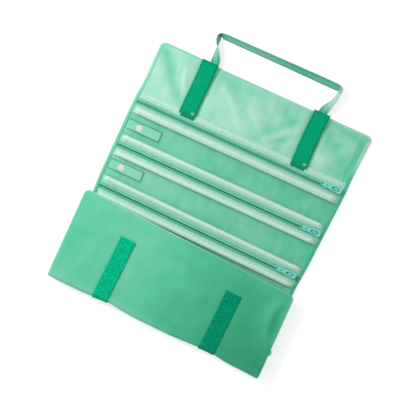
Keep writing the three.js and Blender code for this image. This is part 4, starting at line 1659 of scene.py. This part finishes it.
for side, (middle, top) in LOOP_STRIPS.items():
    verts, uvs = [], []
    half = LOOP_WIDTH / 2
    offsets = [-half, -half + 0.2, -half + 1.2, -half + 2.2, -4, 0, 4]
    offsets += [half - 2.2, half - 1.2, half - 0.2, half]
    runs = [top, top - 0.2, top - 1.2, top - 2.2] + spaced(top - 4, 0, 2) + spaced(-0.6, -14, 0.8)
    for run in runs:
        for offset in offsets:
            rim = min(half - abs(offset), top - run)
            thick = 0.35 if rim < 0.1 else LOOP_THICK * (0.62 if rim < 1 else 1)
            at, out = fold_outside(middle + offset + 0.2 * soft_noise(run, middle, 9, 2), run)
            verts.append((at + out * (thick + 0.05)) * MM)
            uvs.append((offset * MM, run * MM))
    faces = grid_faces(len(runs), len(offsets), True)
    strip = sheet_piece(f"loop_strip_{side}_tape", verts, faces, uvs, 1.0 * MM)
    strip.data.materials.append(LOOP_NYLON[side])
    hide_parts(f"loop_strip_{side}")
    bend_over_flap_head(strip)


# The handle: one length of satin ribbon. Its ends are sewn in under the hook straps, it turns on
# edge up its two legs, is folded over at both corners and leans back along its top run.
HANDLE_POINTS = [
    # x, ahead of the edge, height, turn from flat in degrees, width
    (-70.6, -10, 3.95, 0, 11.0),
    (-70.6, -3, 3.95, 0, 11.0),
    (-70.6, 2.0, 3.95, 0, 11.0),
    (-71.4, 6.5, 4.2, -14, 11.0),
    (-73.2, 12, 4.9, -42, 10.8),
    (-75.2, 17.5, 5.3, -70, 10.6),
    (-76.9, 21.5, 5.4, -90, 10.4),
    (-78.2, 27.0, 5.4, -112, 10.2),
    (-78.9, 31.5, 5.4, -122, 9.8),
    (-78.9, 34.2, 5.4, -118, 9.0),
    (-78.2, 35.9, 5.4, -110, 8.4),
    (-76.4, 36.6, 5.4, -110, 8.6),
    (-73.4, 36.4, 5.3, -118, 9.6),
    (-66, 36.3, 5.3, -123, 10.2),
    (-30, 36.5, 5.3, -124, 10.4),
    (10, 36.8, 5.3, -127, 10.4),
    (46, 36.9, 5.3, -132, 10.4),
    (66, 36.9, 5.2, -135, 10.2),
    (75.5, 36.8, 5.2, -132, 9.8),
    (79.2, 36.4, 5.3, -118, 8.8),
    (80.3, 35.0, 5.4, -112, 8.6),
    (80.1, 31.5, 5.4, -114, 9.6),
    (78.9, 24.5, 5.3, -118, 10.4),
    (77.2, 18.5, 5.2, -126, 10.6),
    (75.2, 13.5, 4.9, -140, 10.8),
    (72.8, 7.5, 4.3, -166, 10.8),
    (71.5, 2.0, 3.95, -180, 10.8),
    (71.4, -3, 3.95, -180, 10.8),
    (71.4, -10, 3.95, -180, 10.8),
]


def curve_through(values, steps):
    """A smooth curve through rows of numbers, even in steps between them."""
    rows = np.array(values, dtype=float)
    padded = np.vstack([2 * rows[0] - rows[1], rows, 2 * rows[-1] - rows[-2]])
    result = []
    for i in range(len(rows) - 1):
        a, b, c, d = padded[i : i + 4]
        span = max(2, int(round(np.linalg.norm((c - b)[:3]) / steps)))
        for k in range(span):
            t = k / span
            bend = (2 * a - 5 * b + 4 * c - d) * t**2 + (3 * b - a - 3 * c + d) * t**3
            result.append(0.5 * (2 * b + (c - a) * t + bend))
    result.append(rows[-1])
    return np.array(result)


def ribbon_mesh(name, route, thick, section):
    """A ribbon along a route. Its section is a flat bar with rounded edges and a raised selvedge."""
    verts, uvs, faces = [], [], []
    count = len(section)
    run = 0.0
    for i, (x, y, z, turn, width) in enumerate(route):
        here = Vector((x, y, z))
        before = Vector(route[max(i - 1, 0)][:3])
        after = Vector(route[min(i + 1, len(route) - 1)][:3])
        along = (after - before).normalized()
        outward = UPWARD.cross(along).normalized()
        angle = math.radians(turn)
        across = outward * math.cos(angle) + UPWARD * math.sin(angle)
        through = along.cross(across).normalized()
        if i:
            run += (here - before).length
        for share, level in section:
            verts.append((here + across * (share * width / 2) + through * (level * thick)) * MM)
            uvs.append((run * MM, (share * 5 + 5) * MM))
    for i in range(len(route) - 1):
        for j in range(count):
            k = (j + 1) % count
            faces.append((i * count + j, i * count + k, (i + 1) * count + k, (i + 1) * count + j))
    faces.append(tuple(reversed(range(count))))
    faces.append(tuple((len(route) - 1) * count + j for j in range(count)))
    piece = laid_out_mesh(name, verts, faces, uvs)
    made_current(piece)
    bpy.ops.object.mode_set(mode="EDIT")
    bpy.ops.mesh.select_all(action="SELECT")
    bpy.ops.mesh.normals_make_consistent(inside=False)
    bpy.ops.object.mode_set(mode="OBJECT")
    return piece


# Across the ribbon's face and off its middle, as shares of half its width and of its thickness.
RIBBON_FACE = [
    (-0.94, 0.5),
    (-0.8, 0.5),
    (-0.74, 0.34),
    (-0.3, 0.38),
    (0.3, 0.38),
    (0.74, 0.34),
    (0.8, 0.5),
    (0.94, 0.5),
]
RIBBON_BACK = [(-share, -level) for share, level in RIBBON_FACE]
RIBBON_SECTION = RIBBON_FACE + [(1.0, 0.0)] + RIBBON_BACK + [(-1.0, 0.0)]
RIBBON_THICK = 0.9
RIBBON_RUN = 0.262
SATIN_RIM = srgb(112, 192, 160)
SELVEDGE = srgb(44, 150, 114)
LOW_SELVEDGE = srgb(78, 142, 118)
SATIN = srgb(60, 188, 144)
SATIN_SHEEN_COLOUR = srgb(196, 232, 219)
SATIN_STRIPES = [
    (0, SATIN_RIM),
    (1.2, SATIN_RIM),
    (1.6, SELVEDGE),
    (2.8, SELVEDGE),
    (3.5, SATIN),
    (7.8, SATIN),
    (8.5, LOW_SELVEDGE),
    (10, LOW_SELVEDGE),
]
# Shares of the ribbon's run, and how much painted sheen whitens its face there.
SATIN_SHEEN_STOPS = [
    (0.0, 0),
    (0.045, 0.02),
    (0.07, 0.12),
    (0.12, 0.4),
    (0.165, 0.2),
    (0.18, 0.04),
    (0.22, 0.2),
    (0.34, 0.18),
    (0.46, 0.12),
    (0.57, 0.02),
    (0.675, 0.12),
    (0.77, 0.1),
    (0.81, 0.9),
    (0.86, 0.72),
    (0.89, 0.32),
    (0.915, 0.05),
    (1.0, 0),
]
LEFT_CORNER = 0.178
WALE_PITCH = 0.003


def satin_colour(tree, uv):
    """Deeper selvedges, and a face with a painted sheen that makes it pale on the legs, deep along the
    top run, and with painted shade in the fold at the left corner. Fine wales run slantwise over all of
    it."""
    along, across = places_along(tree, uv)
    share = math_node(tree, "DIVIDE", along, RIBBON_RUN)
    painted_sheen = colour_ramp(tree, share, [(stop, (pale, pale, pale, 1)) for stop, pale in SATIN_SHEEN_STOPS])
    face = mixed_colour(tree, painted_sheen, across_colour(SATIN_STRIPES)(tree, uv), SATIN_SHEEN_COLOUR)
    slant = math_node(tree, "MULTIPLY_ADD", across, 0.8, along)
    turns = math_node(tree, "MULTIPLY", slant, 2 * math.pi / WALE_PITCH)
    wales = range_node(tree, math_node(tree, "SINE", turns), -1, 1, 0.88, 1.12)
    # Painted shade in the fold at the left corner.
    corner = math_node(tree, "ABSOLUTE", math_node(tree, "SUBTRACT", share, LEFT_CORNER))
    folded = range_node(tree, corner, 0.004, 0.014, 0.6, 1, True)
    return scaled_colour(tree, face, math_node(tree, "MULTIPLY", wales, folded))


satin_ribbon = cloth_material("satin_ribbon", satin_colour, 0.0008, 0.0003, 0.42, 0.3)
handle_points = [(x, TOP_EDGE + ahead, z, turn, wide) for x, ahead, z, turn, wide in HANDLE_POINTS]
handle_route = curve_through(handle_points, 1.6)
handle_ribbon = ribbon_mesh("handle_ribbon", handle_route, RIBBON_THICK, RIBBON_SECTION)
handle_ribbon.data.materials.append(satin_ribbon)
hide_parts("handle", "handle_root_left", "handle_root_right")
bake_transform(handle_ribbon)


# The keepers: in the first two pockets, a velvet strap sewn in at the left border, doubled over at
# its far end and closed by a pearly snap, to hold rings.
KEEPER_WIDTH = 13.0
KEEPER_FOLD_INSET = 48.3
KEEPER_LEAF = 35.0
KEEPER_LOW = 3.25
KEEPER_HIGH = 4.55
KEEPER_BEND = 0.65
# For each keeper, its place down the cloth and the body that it is sewn to.
KEEPERS = {1: (106.0, "top"), 2: (158.2, "spine")}
keeper_velvet = velvet_material("keeper_velvet", 0.1, 0.07)


def keeper_path(root_x, leaf_x, fold_x):
    """Points along a keeper, out over the lining, round its far end and back along its leaf."""
    middle = (KEEPER_LOW + KEEPER_HIGH) / 2
    path = [(x, KEEPER_LOW) for x in spaced(root_x, fold_x - 1.2, 2)]
    for degrees in range(-75, 76, 15):
        angle = math.radians(degrees)
        x = fold_x - 0.9 + KEEPER_BEND * math.cos(angle)
        path.append((x, middle + KEEPER_BEND * math.sin(angle)))
    for x in reversed(spaced(leaf_x, fold_x - 1.2, 2)):
        path.append((x, KEEPER_HIGH + 0.15 * math.sin((fold_x - x) / 7)))
    return path


for number, (place, body) in KEEPERS.items():
    y = TOP_EDGE - place
    side_x = left_side(y)
    fold_x = side_x + KEEPER_FOLD_INSET
    leaf_x = fold_x - KEEPER_LEAF
    path = keeper_path(side_x + POCKET_INSET + 1.4, leaf_x, fold_x)
    verts, uvs, naps_and_light = [], [], []
    half = KEEPER_WIDTH / 2
    offsets = [-half, -half + 0.3, -half + 1.0, -half + 1.5, -2.5, 0, 2.5]
    offsets += [half - 1.5, half - 1.0, half - 0.3, half]
    run = 0.0
    for i, (x, z) in enumerate(path):
        x0, z0 = path[max(i - 1, 0)]
        x1, z1 = path[min(i + 1, len(path) - 1)]
        out = Vector((z1 - z0, 0, x0 - x1)).normalized()
        run += math.hypot(x - x0, z - z0)
        for offset in offsets:
            rim = half - abs(offset)
            puff = -0.18 if rim < 0.2 else (0.02 if 0.8 < rim < 1.2 else 0.1)
            verts.append((Vector((x, y + offset, z)) + out * (0.2 + puff)) * MM)
            uvs.append((offset * MM, run * MM))
            # The strap's edges are painted darker, as painted shade where they roll over.
            naps_and_light.append(0.76 if rim > 1.2 else 0.26)
    faces = grid_faces(len(path), len(offsets))
    strap = sheet_piece(f"keeper_{number}_ribbon", verts, faces, uvs, 0.5 * MM, naps_and_light)
    strap.data.materials.append(keeper_velvet)
    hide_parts(f"keeper_{number}_strap", f"keeper_{number}_leaf")
    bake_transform(strap)
    edges = []
    for offset in (-half + 1.0, half - 1.0):
        xs = spaced(leaf_x + 1.2, fold_x - 1.6, 3)
        line = [Vector((x, y + offset, KEEPER_HIGH + 0.42)) for x in xs]
        edges += stitch_places(line, 2.0, 0.8, 0.36)
    seam(f"keeper_{number}_stitches", edges, deep_thread, f"keeper_{number}")


# The snaps: a pressed cap with a rolled rim and a shallow dome on each keeper's leaf. Its socket
# under the leaf is the model's own.
SNAP_INSET = 21.2
SNAP_RADIUS = 4.05
SNAP_THICK = 0.6
SNAP_LEVEL = 4.95
# How far in, and then how far up, each step of the cap's pressed face goes.
SNAP_STEPS = ((0.75, 0.22), (0.35, -0.24), (1.1, 0.12), (1.2, 0.06))
snap_enamel = plastic_material("snap_enamel", srgb(232, 226, 224), srgb(214, 208, 206), 0.22, 900, 0.6)


def snap_cap(number):
    y = TOP_EDGE - KEEPERS[number][0]
    bpy.ops.object.select_all(action="DESELECT")
    bpy.ops.mesh.primitive_cylinder_add(
        vertices=40,
        radius=SNAP_RADIUS * MM,
        depth=SNAP_THICK * MM,
        end_fill_type="NGON",
        location=((left_side(y) + SNAP_INSET) * MM, y * MM, SNAP_LEVEL * MM),
    )
    cap = bpy.context.object
    cap.name = f"keeper_{number}_snap_cap"
    bpy.ops.object.transform_apply(location=True, rotation=False, scale=False)
    bpy.ops.object.mode_set(mode="EDIT")
    bpy.ops.mesh.select_all(action="DESELECT")
    cap_mesh = bmesh.from_edit_mesh(cap.data)
    for face in cap_mesh.faces:
        face.select_set(face.normal.z > 0.9)
    bmesh.update_edit_mesh(cap.data)
    for inward, upward in SNAP_STEPS:
        bpy.ops.mesh.inset(thickness=inward * MM, depth=upward * MM)
    bpy.ops.object.mode_set(mode="OBJECT")
    rounding = cap.modifiers.new("rounding", "BEVEL")
    rounding.width = 0.14 * MM
    rounding.segments = 2
    bpy.ops.object.modifier_apply(modifier="rounding")
    bpy.ops.object.shade_smooth_by_angle(angle=math.radians(50))
    return cap


for number in KEEPERS:
    cap = snap_cap(number)
    cap.data.materials.append(snap_enamel)
    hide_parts(f"keeper_{number}_cap")
    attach(cap, f"keeper_{number}")
    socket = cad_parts[f"keeper_{number}_socket"]
    socket.data.materials.clear()
    socket.data.materials.append(snap_enamel)


# The sliders: die-cast zinc, enamelled teal. Each has two wings joined at the nose, side walls
# that close the coil, and a bridge on top that holds the pull.
def shape_piece(name, outline, floor, thick):
    """A flat part cut to an outline, in millimetres, with its top and bottom faces."""
    bpy.ops.object.select_all(action="DESELECT")
    bpy.ops.mesh.primitive_circle_add(vertices=len(outline), fill_type="NGON")
    part = bpy.context.object
    part.name = name
    for vert, (x, y) in zip(part.data.vertices, outline):
        vert.co = (x, y, floor)
    bpy.ops.object.mode_set(mode="EDIT")
    bpy.ops.mesh.select_all(action="SELECT")
    bpy.ops.mesh.extrude_region_move(TRANSFORM_OT_translate={"value": (0, 0, thick)})
    bpy.ops.mesh.select_all(action="SELECT")
    bpy.ops.mesh.normals_make_consistent(inside=False)
    bpy.ops.object.mode_set(mode="OBJECT")
    return part


def mirrored(points):
    return points + [(x, -y) for x, y in reversed(points)]


def rounded_edges(part, width, segments=3):
    made_current(part)
    rounding = part.modifiers.new("rounding", "BEVEL")
    rounding.width = width
    rounding.segments = segments
    rounding.limit_method = "ANGLE"
    rounding.angle_limit = math.radians(35)
    bpy.ops.object.modifier_apply(modifier="rounding")


def cut_out(part, cutter):
    made_current(part)
    cut = part.modifiers.new("cut", "BOOLEAN")
    cut.operation = "DIFFERENCE"
    cut.object = cutter
    bpy.ops.object.modifier_apply(modifier="cut")
    bpy.data.objects.remove(cutter)


def joined(parts, name):
    made_current(parts[0])
    for part in parts:
        part.select_set(True)
    bpy.ops.object.join()
    whole = bpy.context.object
    whole.name = name
    bpy.ops.object.shade_smooth_by_angle(angle=math.radians(40))
    return whole


def resized(outline, middle, along, across):
    """An outline made larger or smaller about a place on its middle line."""
    return [(middle + (x - middle) * along, y * across) for x, y in outline]


WING = mirrored([(-4.4, 0.9), (-3.9, 1.9), (-1.5, 2.5), (1.6, 2.95), (3.7, 3.1), (4.4, 2.0)])
NOSE = [(2.0, -0.4), (4.3, -0.5), (4.3, 0.5), (2.0, 0.4)]
WING_LEVEL = 6.7
LOWER_WING_LEVEL = 3.35
WALL_LEVEL = 5.2
EYE_LEVEL = 7.05
BRIDGE_LEVEL = 7.35
upper_wing = shape_piece("upper_wing", WING, WING_LEVEL, 0.9)
rounded_edges(upper_wing, 0.38)
EYE_X = -2.85
EYE_RADIUS = 1.15
eighths = [i * math.pi / 8 for i in range(16)]
eye = [(EYE_X + EYE_RADIUS * math.cos(a), EYE_RADIUS * math.sin(a)) for a in eighths]
cut_out(upper_wing, shape_piece("eye_hollow", eye, EYE_LEVEL, 2))
# A dark plate in the eye's hollow, as painted shade in the recess.
eye_shade_plate = shape_piece("eye_shade_plate", resized(eye, EYE_X, 1.1, 1.1), EYE_LEVEL - 0.25, 0.33)
lower_wing = shape_piece("lower_wing", WING, LOWER_WING_LEVEL, 0.6)
rounded_edges(lower_wing, 0.2)
walls = []
for side in (-1, 1):
    outline = [(-3.5, side * 2.0), (3.6, side * 3.05), (3.6, side * 2.5), (-3.5, side * 1.5)]
    wall = shape_piece("wall", outline[::side], WALL_LEVEL, 1.7)
    rounded_edges(wall, 0.15, 2)
    walls.append(wall)
nose = shape_piece("nose", NOSE, LOWER_WING_LEVEL + 0.25, 3.4)
bpy.ops.object.select_all(action="DESELECT")
bpy.ops.mesh.primitive_torus_add(
    major_radius=2.55,
    minor_radius=0.62,
    major_segments=28,
    minor_segments=12,
    location=(1.0, 0, BRIDGE_LEVEL),
    rotation=(math.radians(90), 0, 0),
)
bridge = bpy.context.object
bridge.scale = (0.95, 0.74, 1.0)
bpy.ops.object.transform_apply(location=True, rotation=True, scale=True)
teal_enamel = plastic_material("teal_enamel", srgb(122, 232, 212), srgb(98, 216, 194), 0.24, 700, 0.7)
# A dark enamel for the plates in the hollows, which stand for painted shade.
teal_recess_shade = plastic_material("teal_recess_shade", srgb(10, 112, 98), srgb(6, 94, 80), 0.4, 700)
for part in [upper_wing, lower_wing, nose, bridge] + walls:
    part.data.materials.append(teal_enamel)
eye_shade_plate.data.materials.append(teal_recess_shade)
slider_pattern = joined([upper_wing, lower_wing, nose, bridge, eye_shade_plate] + walls, "slider_pattern")


# The pulls: a long tab that widens to its tip. Its neck goes round the slider's bridge, and near
# the tip it has a drop-shaped hollow with a raised middle.
PULL_OUTLINE = mirrored(
    [
        (-0.9, 0.8),
        (-0.5, 1.7),
        (0.5, 2.3),
        (3.5, 2.45),
        (7.0, 2.75),
        (11.0, 3.2),
        (15.0, 3.6),
        (18.5, 3.75),
        (20.5, 3.3),
        (21.5, 2.3),
        (21.9, 1.0),
    ]
)
DROP = mirrored(
    [(8.8, 0.5), (9.6, 1.2), (11.6, 1.8), (14.5, 2.1), (16.8, 1.9), (18.2, 1.2), (18.7, 0.4)]
)
NECK_HOLE = mirrored([(0.75, 0.5), (1.1, 1.0), (4.2, 1.0), (4.6, 0.5)])
PULL_LEVEL = 7.8
DROP_LEVEL = 8.3
pull_pattern = shape_piece("pull_pattern", PULL_OUTLINE, PULL_LEVEL, 0.95)
rounded_edges(pull_pattern, 0.28)
cut_out(pull_pattern, shape_piece("neck_hole", NECK_HOLE, PULL_LEVEL - 0.8, 3))
cut_out(pull_pattern, shape_piece("drop_hollow", DROP, DROP_LEVEL, 2))
# A dark plate in the drop's hollow, as painted shade that outlines it.
drop_shade_plate = shape_piece("drop_shade_plate", resized(DROP, 14, 1.03, 1.05), DROP_LEVEL - 0.3, 0.36)
drop_middle = shape_piece("drop_middle", resized(DROP, 15.4, 0.68, 0.6), DROP_LEVEL - 0.2, 0.75)
rounded_edges(drop_middle, 0.25)
for part in (pull_pattern, drop_middle):
    part.data.materials.append(teal_enamel)
drop_shade_plate.data.materials.append(teal_recess_shade)
pull_pattern = joined([pull_pattern, drop_middle, drop_shade_plate], "pull_pattern")


def slider_seat(number):
    """Where a zip's slider and pull stand: on the lining, or turned over under the flap."""
    data = ZIPS[number]
    x = slider_x(number)
    if number == 4:
        seat = Matrix.Translation((FLAP_FOLD + UPWARD * FOLD_TOP) * MM)
        seat = seat @ Matrix.Rotation(-FLAP_SKEW, 4, "Z") @ Matrix.Rotation(math.pi, 4, "X")
        y = -data["place"]
    else:
        seat = Matrix.Identity(4)
        y = TOP_EDGE - data["place"] - data["slope"] * x
    seat = seat @ Matrix.Translation(Vector((x, y, 0)) * MM)
    return seat @ Matrix.Rotation(-math.atan(data["slope"]), 4, "Z") @ Matrix.Scale(MM, 4)


for number in ZIPS:
    for part, title, body in (
        (slider_pattern, f"zip_{number}_slider", f"slider_{number}"),
        (pull_pattern, f"zip_{number}_pull", f"pull_{number}"),
    ):
        piece = bpy.data.objects.new(f"{title}_cast", part.data.copy())
        bpy.context.scene.collection.objects.link(piece)
        piece.data.transform(slider_seat(number))
        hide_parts(title)
        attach(piece, body)
bpy.data.objects.remove(slider_pattern)
bpy.data.objects.remove(pull_pattern)


# The stitching: a seam close inside the edge of the turned border all round, and two along each
# ribbon of the zips.
BORDER_SEAM = 3.55
TOP_SEAM = 2.1
TOP_SEAM_HALF = 138.4
SEAM_LEVEL = 3.52
BORDER_STITCH = (2.1, 0.9, 0.4)
RIBBON_STITCH = (1.9, 0.8, 0.34)


def side_seam(start, end):
    """Stitches along the left and the right border."""
    places = []
    for side, edge in ((-1, left_side), (1, right_side)):
        path = []
        for y in spaced(start, end, 6):
            x = edge(y) - side * BORDER_SEAM
            path.append(Vector((x, y + top_swell(x, TOP_EDGE - y), SEAM_LEVEL)))
        places += stitch_places(path, *BORDER_STITCH)
    return places


def top_seam():
    xs = spaced(CORNER - TOP_SEAM_HALF, TOP_SEAM_HALF - CORNER, 6)
    path = [Vector((x, TOP_EDGE - TOP_SEAM + top_swell(x, 0), SEAM_LEVEL)) for x in xs]
    return stitch_places(path, *BORDER_STITCH)


def flap_seam():
    places = []
    for side in (-1, 1):
        path = []
        for up in spaced(4, FLAP_LENGTH - FLAP_CORNER, 6):
            across = side * (FLAP_HALF - BORDER_SEAM) - FLAP_LEAN * up / FLAP_LENGTH
            path.append(fold_point(across, up, FOLD_TOP - SEAM_LEVEL))
        places += stitch_places(path, *BORDER_STITCH)
    return places


def ribbon_seam(number):
    """Two rows of stitches along each of a zip's ribbons."""
    data = ZIPS[number]
    at, ends = (flap_at, flap_ends) if number == 4 else (sheet_at, sheet_ends)
    places = []
    for way, width, *_ in tapes_of(number).values():
        for d in (RIBBON_START + 0.75, width - 0.85):
            place = data["place"] + way * d
            left, right = ends(place)
            middle, end = tape_level(d, width, data["over_window"] or way > 0)
            turns = (4.5, 6.5, END_SLOPE)
            xs = [left + turn for turn in turns] + spaced(left + 14, right - 14, 6)
            xs += [right - turn for turn in reversed(turns)]
            path = []
            for x in xs:
                level = end + (middle - end) * end_rise(x, left, right) + TAPE_TOP + 0.16
                path.append(at(x, place + data["slope"] * x, level))
            places += stitch_places(path, *RIBBON_STITCH)
    return places


top_places = side_seam(TOP_EDGE - CORNER, UPPER_FOLD + 1.5) + top_seam()
spine_places = side_seam(UPPER_FOLD - 1.5, LOWER_FOLD + 1.5)
base_places = side_seam(LOWER_FOLD - 1.5, -62)
seam("border_stitches_top", top_places, mint_thread, "top")
seam("border_stitches_spine", spine_places, deep_thread, "spine")
seam("border_stitches_base", base_places, deep_thread, "base")
seam("border_stitches_flap", flap_seam(), deep_thread, "flap")
for number, data in ZIPS.items():
    name = f"zip_{number}_ribbon_stitches"
    seam(name, ribbon_seam(number), mint_thread, data["body"])
bpy.data.objects.remove(stitch_pattern)
